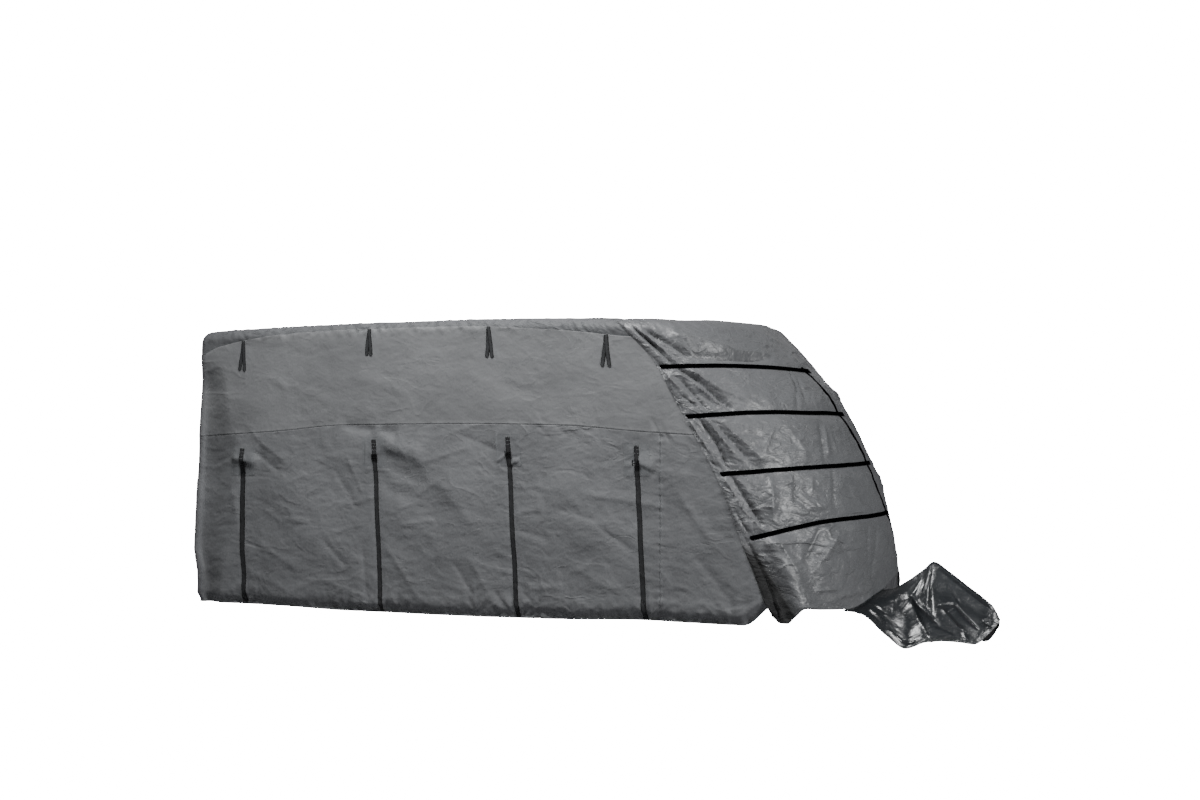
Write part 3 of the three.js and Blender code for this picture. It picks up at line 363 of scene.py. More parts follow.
# The other creases, and then the stars above the hem.
NEAR_FOLDS = [
    (0.52, 0.40, 0.40, 0.98, 0.060, 0.060, 0.008),
    (0.58, 1.42, 0.64, 1.33, 0.03, 0.04, 0.006),
    (0.64, 1.33, 0.92, 1.15, 0.05, 0.05, 0.010),
    (0.60, 1.24, 0.86, 1.06, 0.04, 0.05, -0.008),
    (0.73, 1.83, 0.93, 1.74, 0.03, 0.04, 0.005),
    (0.25, 0.90, 0.45, 0.93, 0.020, 0.025, -0.004),
    (0.24, 0.73, 0.46, 0.75, 0.020, 0.025, -0.004),
    (0.20, 0.61, 0.46, 0.65, 0.020, 0.025, -0.004),
    (0.53, 0.86, 0.86, 0.69, 0.018, 0.022, 0.003),
    (0.86, 0.69, 1.36, 0.67, 0.020, 0.030, 0.003),
    (0.60, 0.52, 1.05, 0.30, 0.060, 0.070, 0.007),
    (1.52, 1.20, 1.67, 0.90, 0.025, 0.030, 0.006),
    (1.40, 1.08, 1.60, 0.80, 0.040, 0.045, -0.006),
    (1.52, 0.82, 1.77, 0.88, 0.022, 0.025, 0.005),
    (2.00, 0.79, 2.20, 0.85, 0.022, 0.025, 0.005),
    (1.38, 0.59, 1.68, 0.67, 0.025, 0.030, 0.005),
    (2.02, 0.66, 2.34, 0.71, 0.025, 0.030, 0.005),
    (1.29, 0.53, 1.52, 0.33, 0.035, 0.045, -0.009),
    (1.87, 0.52, 2.20, 0.12, 0.050, 0.060, 0.009),
    (1.66, 0.50, 1.71, 0.08, 0.035, 0.045, -0.009),
    (0.52, 0.27, 0.98, 0.12, 0.050, 0.055, 0.008),
    (0.98, 0.12, 1.30, 0.24, 0.050, 0.055, 0.008),
    (1.28, 0.23, 1.70, 0.10, 0.050, 0.055, 0.008),
    (2.30, 1.34, 2.78, 1.45, 0.030, 0.030, 0.004),
    (2.55, 1.37, 2.93, 1.24, 0.030, 0.035, -0.006),
    (2.18, 1.14, 2.66, 1.27, 0.035, 0.035, 0.006),
    (2.18, 0.90, 2.42, 1.03, 0.030, 0.035, 0.005),
    (2.42, 0.98, 2.70, 0.66, 0.100, 0.100, 0.009),
    (2.52, 0.38, 2.70, 0.14, 0.035, 0.045, -0.010),
    (2.66, 0.42, 2.86, 0.12, 0.050, 0.050, 0.009),
    (3.26, 1.43, 3.36, 1.34, 0.025, 0.025, -0.006),
    (3.41, 1.43, 3.51, 1.36, 0.025, 0.025, -0.006),
    (3.62, 1.42, 3.70, 1.37, 0.025, 0.025, -0.006),
    (3.05, 0.76, 3.30, 0.83, 0.035, 0.040, 0.007),
    (3.10, 0.97, 3.29, 0.98, 0.020, 0.020, 0.004),
    (3.10, 0.91, 3.27, 0.90, 0.020, 0.020, 0.004),
    (3.05, 0.66, 3.35, 0.59, 0.035, 0.045, -0.008),
    (3.10, 0.21, 3.20, 0.12, 0.020, 0.025, -0.008),
    (3.05, 0.26, 3.17, 0.20, 0.020, 0.025, -0.006),
    (3.17, 0.21, 3.44, 0.24, 0.035, 0.040, 0.009),
    (3.42, 0.82, 3.80, 0.73, 0.045, 0.050, -0.008),
    (3.70, 0.92, 4.25, 0.85, 0.045, 0.050, 0.008),
    (3.78, 0.69, 4.05, 0.51, 0.040, 0.045, -0.008),
    (3.55, 0.40, 3.95, 0.20, 0.060, 0.060, 0.007),
    (4.03, 1.17, 4.25, 1.07, 0.045, 0.045, -0.010),
    (4.27, 1.45, 4.35, 1.31, 0.022, 0.025, -0.006),
    (4.20, 1.48, 4.29, 1.33, 0.022, 0.025, -0.006),
    (4.42, 0.95, 4.72, 0.55, 0.070, 0.070, 0.009),
    (4.55, 0.50, 4.86, 0.16, 0.060, 0.060, -0.009),
    (2.90, 1.76, 3.40, 1.62, 0.090, 0.090, -0.005),
    (1.60, 1.82, 2.10, 1.70, 0.090, 0.090, 0.005),
]
for star in (
    (3.06, 0.00, 0.27, 0.008, (28, 48, 66, 84, 102, 118, 134, 150), 0.020),
    (2.72, 0.02, 0.20, 0.007, (30, 52, 74, 96, 118, 142), 0.018),
    (4.20, 0.04, 0.22, 0.007, (24, 50, 72, 95, 120, 146), 0.018),
    (2.02, 0.00, 0.17, 0.006, (34, 62, 90, 120, 148), 0.018),
    (0.55, 0.02, 0.16, 0.006, (20, 44, 70, 100), 0.018),
    (4.86, 0.07, 0.17, 0.006, (40, 74, 104, 138), 0.018),
):
    NEAR_FOLDS += crumple(*star)

FAR_FOLDS = [
    (0.40, 1.10, 0.46, 1.94, 0.06, 0.07, -0.011),
    (1.00, 1.05, 1.42, 0.24, 0.11, 0.12, 0.011),
    (1.42, 1.40, 1.96, 1.37, 0.05, 0.05, -0.010),
    (1.90, 1.22, 2.26, 1.04, 0.06, 0.06, 0.010),
    (2.20, 0.16, 2.62, 0.98, 0.10, 0.11, 0.010),
    (2.94, 1.20, 3.36, 1.02, 0.07, 0.07, -0.010),
    (3.42, 1.02, 3.82, 0.20, 0.10, 0.11, 0.011),
    (4.40, 0.26, 4.72, 0.88, 0.09, 0.10, 0.009),
    (0.70, 0.82, 1.10, 0.70, 0.03, 0.03, 0.005),
    (2.90, 0.60, 3.30, 0.66, 0.03, 0.03, 0.005),
]
for star in (
    (2.99, 1.22, 0.16, 0.006, (155, 180, 214, 18, -14, 38)),
    (1.78, 1.20, 0.16, 0.006, (162, 190, 8, -22, 30)),
    (0.50, 1.14, 0.15, 0.006, (172, 205, 10, -24)),
    (4.07, 1.15, 0.16, 0.006, (165, 192, 14, -30)),
):
    FAR_FOLDS += crumple(*star)

# On the rear wall the table's x is y, from the near corner to the far one.
REAR_FOLDS = [
    (-0.60, 1.50, -0.70, 0.28, 0.09, 0.10, -0.011),
    (-0.36, 0.14, 0.02, 1.10, 0.10, 0.11, 0.012),
    (0.34, 0.60, 0.50, 1.68, 0.10, 0.11, -0.011),
    (0.72, 0.12, 0.80, 0.92, 0.09, 0.10, 0.011),
    (-0.20, 1.30, 0.24, 1.16, 0.04, 0.04, 0.005),
    (-0.70, 0.62, -0.30, 0.50, 0.04, 0.04, -0.006),
    (0.10, 0.42, 0.52, 0.30, 0.04, 0.04, 0.006),
]

# On the front the first and third number are the turn in degrees, from the near seam at -90 round
# the nose at 0 to the far seam at 90.
TURN_LENGTH = 1.3 / 90
FRONT_FOLDS = [
    (-83.0, 2.12, -80.4, 1.87, 0.035, 0.040, -0.022),
    (-80.6, 2.10, -76.0, 1.88, 0.022, 0.026, 0.010),
    (-77.5, 2.11, -65.9, 1.93, 0.040, 0.050, -0.020),
    (-65.9, 1.93, -21.4, 1.92, 0.050, 0.045, -0.019),
    (-64.0, 2.06, -37.8, 1.975, 0.045, 0.040, 0.010),
    (-37.8, 1.97, -18.0, 1.95, 0.035, 0.035, 0.008),
    (-79.5, 1.85, -70.4, 1.74, 0.045, 0.050, -0.024),
    (-70.4, 1.74, -61.5, 1.52, 0.050, 0.045, -0.018),
    (-72.4, 1.83, -61.8, 1.69, 0.035, 0.045, 0.012),
    (-61.8, 1.69, -45.0, 1.55, 0.045, 0.040, 0.010),
    (-80.2, 1.73, -75.0, 1.53, 0.030, 0.035, -0.012),
    (-74.0, 1.73, -65.2, 1.55, 0.030, 0.035, 0.010),
    (-84.8, 1.64, -78.8, 1.53, 0.025, 0.030, -0.009),
    (-86.4, 1.79, -83.0, 1.70, 0.035, 0.035, 0.011),
    (-82.9, 1.49, -80.3, 1.29, 0.028, 0.032, -0.012),
    (-80.3, 1.29, -81.8, 1.11, 0.032, 0.028, -0.012),
    (-87.8, 1.48, -86.1, 1.24, 0.022, 0.026, 0.009),
    (-78.2, 1.47, -73.6, 1.24, 0.026, 0.030, 0.009),
    (-74.2, 1.42, -67.0, 1.16, 0.030, 0.035, -0.010),
    (-70.0, 1.42, -61.0, 1.18, 0.030, 0.040, 0.010),
    (-63.0, 1.37, -46.0, 1.32, 0.030, 0.030, -0.009),
    (-64.0, 1.25, -54.5, 1.32, 0.024, 0.028, -0.007),
    (-58.0, 1.23, -47.0, 1.40, 0.024, 0.026, 0.007),
    (-40.0, 1.41, -36.0, 1.22, 0.050, 0.055, 0.008),
    (-81.4, 1.08, -77.9, 0.90, 0.030, 0.034, -0.013),
    (-77.9, 0.90, -73.0, 0.70, 0.034, 0.040, -0.014),
    (-84.8, 1.05, -80.9, 0.83, 0.026, 0.030, 0.010),
    (-80.9, 0.83, -72.5, 0.68, 0.030, 0.032, 0.010),
    (-89.1, 1.17, -84.6, 1.11, 0.020, 0.024, -0.008),
    (-86.2, 0.82, -83.0, 0.65, 0.022, 0.026, -0.009),
    (-45.0, 0.84, -33.6, 0.85, 0.035, 0.040, 0.008),
    (-46.0, 1.09, -51.6, 0.89, 0.026, 0.030, -0.009),
    (-24.2, 1.10, -30.8, 0.85, 0.026, 0.030, -0.009),
    (-60.0, 1.06, -66.0, 0.80, 0.040, 0.045, 0.009),
    (-38.0, 1.07, -42.0, 0.94, 0.040, 0.040, 0.008),
    (-86.2, 0.66, -83.6, 0.40, 0.040, 0.045, -0.010),
    (-83.6, 0.40, -81.0, 0.06, 0.045, 0.050, -0.012),
    (-80.0, 0.22, -78.0, 0.04, 0.022, 0.024, 0.014),
    (-41.2, 0.69, -54.8, 0.47, 0.035, 0.040, -0.014),
    (-32.6, 0.64, -51.4, 0.40, 0.038, 0.042, 0.013),
    (-60.6, 0.34, -53.0, 0.28, 0.024, 0.026, -0.008),
    (-31.4, 0.58, -25.2, 0.48, 0.024, 0.026, -0.008),
    (-52.0, 0.26, -37.8, 0.26, 0.026, 0.028, 0.009),
    (-68.0, 0.60, -62.0, 0.36, 0.040, 0.045, 0.010),
    (-13.0, 1.83, -27.0, 1.56, 0.026, 0.032, -0.010),
    (-11.6, 1.79, -19.3, 1.61, 0.020, 0.024, -0.008),
    (-16.6, 1.80, -24.0, 1.60, 0.022, 0.026, 0.007),
    (-19.0, 1.43, -26.8, 1.17, 0.024, 0.030, -0.009),
    (-16.2, 1.42, -22.5, 1.22, 0.022, 0.026, 0.007),
    (-13.0, 1.40, -16.0, 1.24, 0.018, 0.022, 0.006),
    (-9.6, 0.69, -12.6, 0.44, 0.022, 0.026, -0.008),
    (-0.5, 0.66, -11.0, 0.30, 0.030, 0.036, -0.009),
    (-43.3, 0.20, -13.5, 0.25, 0.026, 0.030, 0.007),
    (-68.6, 0.15, -54.0, 0.14, 0.026, 0.028, 0.008),
    (-48.0, 0.52, -38.0, 0.36, 0.050, 0.055, -0.008),
    (26.0, 1.30, 33.0, 0.50, 0.060, 0.060, -0.011),
    (20.0, 1.70, 52.0, 1.58, 0.050, 0.050, 0.009),
    (50.0, 1.86, 68.0, 1.18, 0.070, 0.060, -0.015),
    (66.0, 1.12, 56.0, 0.48, 0.060, 0.070, 0.013),
    (74.0, 1.96, 80.0, 1.52, 0.040, 0.045, -0.013),
    (76.0, 0.92, 82.0, 0.38, 0.040, 0.045, -0.013),
    (36.0, 1.06, 48.0, 0.84, 0.035, 0.040, 0.008),
]

# Broad swells of the front, with the same columns.
FRONT_SWELLS = [
    (-71.0, 0.66, -64.0, 0.05, 0.13, 0.15, 0.078),
    (-82.0, 2.04, -72.0, 1.86, 0.07, 0.07, -0.020),
    (-66.0, 2.08, -40.0, 1.96, 0.08, 0.08, 0.020),
    (-66.0, 1.93, -24.0, 1.90, 0.05, 0.05, -0.018),
    (-84.0, 1.78, -66.0, 1.55, 0.06, 0.07, -0.020),
    (-55.0, 1.72, -38.0, 1.58, 0.09, 0.09, 0.014),
    (-84.5, 1.42, -79.0, 1.16, 0.05, 0.06, -0.020),
    (-66.0, 1.40, -58.0, 1.18, 0.08, 0.09, 0.014),
    (-83.0, 1.02, -76.0, 0.72, 0.05, 0.06, -0.022),
    (-62.0, 1.02, -66.0, 0.74, 0.08, 0.09, 0.016),
    (-36.0, 0.62, -50.0, 0.34, 0.08, 0.09, 0.016),
]

def on_flat_front(rows):
    return [(a * TURN_LENGTH, b, c * TURN_LENGTH, d, e, f, g) for a, b, c, d, e, f, g in rows]

# The front's creases are all made deeper and slimmer than their rows say, by these factors.
FRONT_DEPTH, FRONT_SLIM = 1.9, 0.75
FLAT_FRONT_FOLDS = [(*row[:4], FRONT_SLIM * row[4], FRONT_SLIM * row[5], FRONT_DEPTH * row[6])
                    for row in on_flat_front(FRONT_FOLDS)]
FLAT_FRONT_SWELLS = on_flat_front(FRONT_SWELLS)
print("folds placed by hand:", len(NEAR_FOLDS), len(FAR_FOLDS), len(REAR_FOLDS), len(FRONT_FOLDS))

# %% [markdown]
# The straps and bands shape the cloth as much as its cut does. Along a strap the side is drawn in, and
# between two straps it swells. A band makes a waist in the front panel, so the cloth puffs out above and
# below it.

# %% Straps and bands as lines on the cloth
STRAPS = [
    {"top_x": 0.499, "hem_x": 0.513, "top_z": 1.264, "buckle_z": 1.135},
    {"top_x": 1.769, "hem_x": 1.842, "top_z": 1.332, "buckle_z": 1.197},
    {"top_x": 2.990, "hem_x": 3.073, "top_z": 1.351, "buckle_z": 1.225},
    {"top_x": 4.076, "hem_x": 4.147, "top_z": 1.283, "buckle_z": 1.158},
]

# Each band: its heights at its start, middle and end, and the turns in degrees where it starts and ends.
BANDS = [
    {"heights": (1.851, 1.858, 1.845), "start": -88.0, "end": 5.0},
    {"heights": (1.490, 1.522, 1.521), "start": -88.5, "end": 9.0},
    {"heights": (1.079, 1.126, 1.154), "start": -86.5, "end": 15.0},
    {"heights": (0.630, 0.752, 0.780), "start": -83.0, "end": 24.0},
]
for band in BANDS:
    band["z"] = curve((band["start"], (band["start"] + band["end"]) / 2, band["end"]), band["heights"])

# The turn of the upright webbing at each height.
webbing_turn = curve((0.30, 0.60, 0.78, 1.00, 1.37, 1.56, 1.87), (33, 27, 21, 13, 7.5, 4, 1))

# Each strap draws the side in over this reach and depth, and lies in a narrow groove below its buckle.
# Between the straps the side swells. Above their tops both die out, the groove at once and the pull slowly.
PULL_REACH, PULL_DEPTH, SWELL_BETWEEN, PULL_TOP = 0.24, 0.016, 0.009, 1.15
GROOVE_REACH, GROOVE_DEPTH, GROOVE_TOP = 0.035, 0.004, 1.12
WAIST_REACH = 0.042

def strap_x(strap, z):
    return mix(strap["hem_x"], strap["top_x"], z / strap["top_z"])

def strap_pull(x, z):
    pull = sum(np.exp(-((x - strap_x(strap, z)) / PULL_REACH) ** 2) for strap in STRAPS)
    groove = sum(np.exp(-((x - strap_x(strap, z)) / GROOVE_REACH) ** 2) for strap in STRAPS)
    below = 1 - fade((z - PULL_TOP) / 0.5)
    under_buckle = 1 - fade((z - GROOVE_TOP) / 0.06)
    return (SWELL_BETWEEN - PULL_DEPTH * pull) * below - GROOVE_DEPTH * groove * under_buckle

def band_pull(turn, z):
    """How much a place of the front is held in by the nearest band, from 0 to 1."""
    share = np.zeros(np.broadcast(turn, z).shape)
    for band in BANDS:
        near_band = np.exp(-((z - band["z"](turn)) / WAIST_REACH) ** 2)
        share = np.maximum(share, near_band * fade((band["end"] + 2 - turn) / 5))
    return share

print("straps:", len(STRAPS), "a side, bands:", len(BANDS))

# %% [markdown]
# Now the relief of each kind of panel: broad noise, the table's folds, and what sewing does to cloth. A
# hem that was turned and stitched is shorter than the cloth above it, so the cloth gathers into small
# upright pleats. Along a seam it puckers a few centimetres to each side.

# %% Relief of the cloth
# Unevenness in four sizes: the noise it reads, its depth, and its length along and up, in metres.
UNEVEN = (
    (2, 0.0115, 0.62, 0.46), (3, 0.0027, 0.24, 0.17), (4, 0.0011, 0.085, 0.060), (5, 0.0004, 0.040, 0.030),
)

# Each panel reads the noise at a place of its own, this far along it.
FAR_NOISE, REAR_NOISE, FRONT_NOISE, ROOF_NOISE, HITCH_NOISE = 23.0, 41.0, 61.0, 83.0, 97.0

# Depths and lengths in metres, or shares where a name says so.
RIDGE_DEPTH, CREASE_SHARE = 0.0024, 0.85
PLEAT, FINE_PLEAT, PLEAT_HEIGHT, FACET_SHARE = 0.052, 0.024, 0.085, 1.4
PUCKER, FINE_PUCKER, PUCKER_REACH = 0.034, 0.019, 0.032
SEAM_DEPTH, SEAM_REACH, WELT_HEIGHT, WELT_WIDTH, WELT_ROUND = 0.0022, 0.0035, 0.0012, 0.011, 0.004
HEM_DRAWN_IN, HEM_BULGE = 0.026, 0.006
EDGE_PLEAT_DEPTH, EDGE_ZIGZAG_DEPTH, EDGE_ZIGZAG = 0.0065, 0.009, 0.11
SIDE_WRINKLES, SIDE_WRINKLE_SIZE, UPPER_CALM_SHARE = 0.0026, 0.14, 0.35
FRONT_WRINKLES, FRONT_WRINKLE_SIZE, FRONT_FINE_WRINKLES, FRONT_FINE_SIZE = 0.0075, 0.15, 0.003, 0.07
FRONT_FULLNESS, WAIST_LEVEL, WAIST_SHARE = 0.004, -0.007, 0.70

def uneven_cloth(x, z, strength=1.0):
    bend_x = x + 0.10 * noise[0](x / 0.5, z / 0.5)
    bend_z = z + 0.10 * noise[1](x / 0.5, z / 0.5)
    height = sum(depth * noise[i](bend_x / long, bend_z / high) for i, depth, long, high in UNEVEN)
    ridged = np.exp(-(noise[6](bend_x / 0.26, bend_z / 0.17) / 0.10) ** 2)
    patchy = fade(0.5 + 1.4 * noise[7](x / 0.6, z / 0.45))
    return strength * (height + RIDGE_DEPTH * ridged * patchy)

def wrinkles(x, z, size):
    """Crisp little creases: sharp where the noise changes its sign."""
    return 0.3 - np.abs(noise[8](x / size + 2.0 * z, z / (0.75 * size) - 1.5 * x))

def hem_gathers(along, above, depth=0.016):
    """Upright pleats and facets that die out above the hem."""
    lean = along + 0.22 * above * noise[8](along / 0.5, 0.3)
    pleats = noise[9](lean / PLEAT, above / 0.9) + 0.5 * noise[10](lean / FINE_PLEAT, above / 0.5)
    where = 0.30 + 0.70 * fade(0.5 + 1.3 * noise[11](along / 0.7, 0.0))
    facets = 0.4 - np.abs(noise[6](lean / 0.10, above / 0.07)) + 0.4 * noise[8](lean / 0.05, above / 0.04)
    return depth * (pleats + FACET_SHARE * facets) * where * np.exp(-np.maximum(above, 0) / PLEAT_HEIGHT)

def puckers(along, away, depth=0.0016):
    """Short gathers on both sides of a seam."""
    gathers = noise[9](along / PUCKER, 4.5 + away / 0.3)
    gathers = gathers + 0.6 * noise[10](along / FINE_PUCKER, 2.5 + away / 0.2)
    return depth * gathers * np.exp(-np.abs(away) / PUCKER_REACH)

def seam_line(away):
    """The valley of a seam, with the welt of its folded cloth on the side where away is more than 0."""
    valley = -SEAM_DEPTH * np.exp(-(away / SEAM_REACH) ** 2)
    start, end = fade((away + 0.002) / WELT_ROUND), fade((WELT_WIDTH + WELT_ROUND - away) / WELT_ROUND)
    return valley + WELT_HEIGHT * start * end

# The hem is drawn in under the body. Where the roll begins changes along the side.
roll_height = curve(
    (0, 0.3, 0.55, 0.97, 1.27, 1.72, 2.1, 2.45, 2.7, 3.0, 3.3, 3.8, 4.3, 5.1),
    (0.08, 0.09, 0.12, 0.08, 0.12, 0.08, 0.10, 0.09, 0.11, 0.10, 0.12, 0.09, 0.10, 0.07),
)

def hem_roll(x, above):
    height = roll_height(x)
    bulge = HEM_BULGE * np.exp(-((above - height * 1.15) / (0.45 * height)) ** 2)
    return bulge - HEM_DRAWN_IN * fade((height - above) / height) ** 1.3

def edge_gathers(x, down):
    """The gathers of the rounded edge, from the roof's border down to the edge seam."""
    lean = np.where(noise[7](x / 0.30, 3.5) > 0, 0.55, -0.55)
    pleats = noise[9]((x + lean * down) / 0.050, 7.5 + down / 0.2) + 0.5 * noise[10]((x - down) / 0.034, 1.5)
    zigzag = 0.4 - np.abs(noise[8]((x + 1.6 * down) / EDGE_ZIGZAG, (down - 0.3 * x) / EDGE_ZIGZAG))
    height = EDGE_PLEAT_DEPTH * pleats + EDGE_ZIGZAG_DEPTH * zigzag
    return height * fade(down / 0.030) * fade((QUARTER + 0.03 - down) / 0.05)

# How far ahead of the rear corner the hollow has come up again, at each height.
hollow_reach = curve((0, 0.25, 0.5, 0.9, 1.2, 1.5, 2.0), (0.20, 0.23, 0.31, 0.38, 0.38, 0.28, 0.22))

def rear_hollow(x, z):
    return hollow_depth(z) * fade((x + 0.09) / 0.20) * (1 - fade((x - 0.11) / hollow_reach(z)))

def side_relief(sign, x, z):
    table, shift = (NEAR_FOLDS, 0.0) if sign < 0 else (FAR_FOLDS, FAR_NOISE)
    calm = 1.0 - UPPER_CALM_SHARE * fade((z - 1.35) / 0.2)
    wrinkled = SIDE_WRINKLES * (2 * calm - 1) * wrinkles(x + shift, z, SIDE_WRINKLE_SIZE)
    height = uneven_cloth(x + shift, z, calm) + wrinkled
    height = height + CREASE_SHARE * fold_relief(table, x, z) + strap_pull(x, z)
    if sign < 0:
        height = height + fold_relief(NEAR_SWELLS, x, z, soft=True) + fold_relief(NEAR_LEDGES, x, z)
    hem = hem_z(x)
    height = height + hem_gathers(x + shift, z - hem) + hem_roll(x, z - hem)
    mid, edge = mid_z(x), edge_z(np.minimum(x, SEAM_EDGE))
    height = height + puckers(x + shift, z - mid) + seam_line(z - mid)
    height = height + puckers(x + shift + 9, z - edge) + 1.7 * seam_line(z - edge)
    upright = puckers(z + shift, x - VERTICAL_SEAM, 0.005) + 1.5 * seam_line(x - VERTICAL_SEAM)
    return height + upright * fade((mid - z) / 0.02) - rear_hollow(x, z)

def rear_relief(y, z):
    height = uneven_cloth(y + REAR_NOISE, z) + fold_relief(REAR_FOLDS, y, z) * fade((2.05 - z) / 0.3)
    return height + hem_gathers(y + REAR_NOISE, z - hem_z(0.0))

def front_relief(turn, z):
    x = turn * TURN_LENGTH
    hem = front_hem_z(HALF * np.sin(np.radians(turn)))
    height = uneven_cloth(x + FRONT_NOISE, z, 1.5) + fold_relief(FLAT_FRONT_FOLDS, x, z)
    height = height + fold_relief(FLAT_FRONT_SWELLS, x, z, soft=True)
    height = height + FRONT_WRINKLES * wrinkles(x + FRONT_NOISE, z, FRONT_WRINKLE_SIZE)
    height = height + FRONT_FINE_WRINKLES * wrinkles(z + 5.0, x, FRONT_FINE_SIZE)
    height = height + hem_gathers(x + FRONT_NOISE, z - hem, 0.008) + FRONT_FULLNESS
    return mix(height, WAIST_LEVEL, WAIST_SHARE * band_pull(turn, z))

print("relief ready")

# %% [markdown]
# A wall point is found in three steps: its place on the smooth form, the way out of the cloth there, and
# the relief along that way. Columns run 0 to 1 round the rear corner, 1 to 2 up to the upright seam and
# 2 to 3 up to the front seam. Rows run 0 to 1 from hem to mid seam, to 2 at the edge seam, and to 3 where
# the rounded edge meets the roof.

# %% The side wall as one surface
def skin(base_x, base_y, out_x, out_y, roof, down):
    """Places on the smooth form and the way out there, a length of cloth down from the roof's border."""
    angle = np.minimum(down / EDGE_RADIUS, np.pi / 2)
    reach = EDGE_RADIUS * np.sin(angle)
    drop = EDGE_RADIUS * (1 - np.cos(angle)) + np.maximum(0, down - QUARTER)
    place = np.stack(np.broadcast_arrays(base_x + out_x * reach, base_y + out_y * reach, roof - drop), -1)
    out = np.stack(np.broadcast_arrays(out_x * np.sin(angle), out_y * np.sin(angle), np.cos(angle)), -1)
    return place, out

def below_edge(down):
    """0 on the rounded edge and 1 on the wall below it."""
    return fade(down / QUARTER - 0.6)

def wall_grid(sign, columns, rows):
    c, r = np.meshgrid(columns, rows, indexing="ij")
    turn = np.radians(45 + 45 * np.clip(c, 0, 1))
    share = np.clip(c - 2, 0, 1)
    x_mid = mix(EDGE_RADIUS, VERTICAL_SEAM, np.clip(c - 1, 0, 1))
    hem_place = mix(x_mid, seam_x(hem_z(SIDE_PLACES[-1])), share)
    mid_place = mix(x_mid, SEAM_MID, share)
    edge_place = mix(edge_x(x_mid), SEAM_EDGE, share)
    top_place = mix(top_x(edge_x(x_mid)), SEAM_TOP, share)
    hem, mid, edge, roof = hem_z(hem_place), mid_z(mid_place), edge_z(edge_place), roof_z(top_place)
    lower, upper, rounded = np.clip(r, 0, 1), np.clip(r - 1, 0, 1), np.clip(r - 2, 0, 1)
    z = np.where(r <= 1, mix(hem, mid, lower), mix(mid, edge, upper))
    behind = np.where(r <= 1, x_mid, mix(x_mid, edge_x(x_mid), upper))
    x = mix(behind, seam_x(z), share)
    down = np.where(r <= 2, down_to(roof, z), down_to(roof, edge) * (1 - rounded))
    x = np.where(r <= 2, x, mix(edge_place, top_place, rounded))
    place, out = skin(x, sign * INNER, -np.cos(turn), sign * np.sin(turn), roof, down)
    along = x - EDGE_RADIUS * (np.pi / 2 - turn)
    relief = side_relief(sign, along, place[..., 2]) * below_edge(down) + edge_gathers(along, down)
    place = place + out * relief[..., None]
    place[..., 0] += rear_lean(x, place[..., 2])
    flat = np.stack([along, np.where(r <= 2, z, edge + down_to(roof, edge) - down)], -1)
    return place, out, flat

def wall_place(sign, x, z):
    """Places on the finished side wall below the rounded edge, and the way out of them."""
    x, z = np.broadcast_arrays(np.asarray(x, float), np.asarray(z, float))
    place = np.stack([x + rear_lean(x, z), sign * (HALF + side_relief(sign, x, z)), z], -1)
    return place, np.broadcast_to((0.0, sign, 0.0), place.shape)

# %% [markdown]
# Rows of points stand closer together beside a seam, because the welt of a seam is only a centimetre
# wide, and a coarse grid would smear it.

# %% Grids that are finer beside a seam
BESIDE_SEAM = (0.0, 0.002, 0.005, 0.009, 0.013, 0.018)

# How far apart the points of each grid stand, in metres. The upper panel and the way across the roof have
# a coarser grid by these factors.
NEAR_CELL, FAR_CELL, ROOF_CELL = 0.0119, 0.022, 0.0145
FRONT_CELL, HITCH_CELL, PATCH_CELL = 0.013, 0.0095, 0.010
UPPER_COARSER, ACROSS_COARSER = 1.25, 1.8

# Lengths of the panels along their cloth, rounded. They set how many points a grid has, and so how far
# from a seam its closer rows lie.
LOWER_HEIGHT, UPPER_HEIGHT, REAR_UPPER_HEIGHT = 1.40, 0.74, 0.62
LOWER_AHEAD, UPPER_AHEAD = 0.62, 0.20
FRONT_ROUND, FRONT_RISE = 2.75, 2.62
CORNER_ARC = EDGE_RADIUS * math.pi / 4
REAR_LENGTH = VERTICAL_SEAM - EDGE_RADIUS

def steps(length, cell, finer_start=True, finer_end=True):
    """Shares of a length, from 0 to 1, that stand closer beside a seam at either end."""
    start = [d for d in BESIDE_SEAM if finer_start or d == 0]
    end = [d for d in BESIDE_SEAM if finer_end or d == 0]
    inner = length - start[-1] - end[-1]
    count = max(2, round(inner / cell))
    middle = [start[-1] + inner * i / count for i in range(1, count)]
    return np.array(start + middle + [length - d for d in reversed(end)]) / length

def joined(*parts):
    """Rows of numbers one after the other, where each starts with the last number of the one before."""
    pieces = [parts[0]] + [part[1:] for part in parts[1:]]
    return np.concatenate(pieces)

# %% [markdown]
# A sheet is closed: an outer face, an inner face one thickness behind it, and a rim round the edge. Its
# UV map is in metres of flat cloth, so a weave keeps its scale on every panel.

# %% A closed sheet of cloth from a grid
CLOTH = 0.0013

def unit(way):
    return way / np.maximum(np.linalg.norm(way, axis=-1, keepdims=True), 1e-9)

def normals(place):
    return unit(np.cross(np.gradient(place, axis=0), np.gradient(place, axis=1)))

def normals_up(place):
    out = normals(place)
    return out if np.mean(out[..., 2]) > 0 else -out

def run_along(line):
    """How many metres of a line lie before each of its points."""
    return np.concatenate([[0], np.cumsum(np.linalg.norm(np.diff(line, axis=0), axis=1))])

def flat_from_lengths(place):
    """The flat cloth of a grid whose places are known, measured along its lines both ways."""
    run = np.cumsum(np.linalg.norm(np.diff(place, axis=0, prepend=place[:1]), axis=-1), 0)
    rise = np.cumsum(np.linalg.norm(np.diff(place, axis=1, prepend=place[:, :1]), axis=-1), 1)
    return np.stack([run, rise], -1)

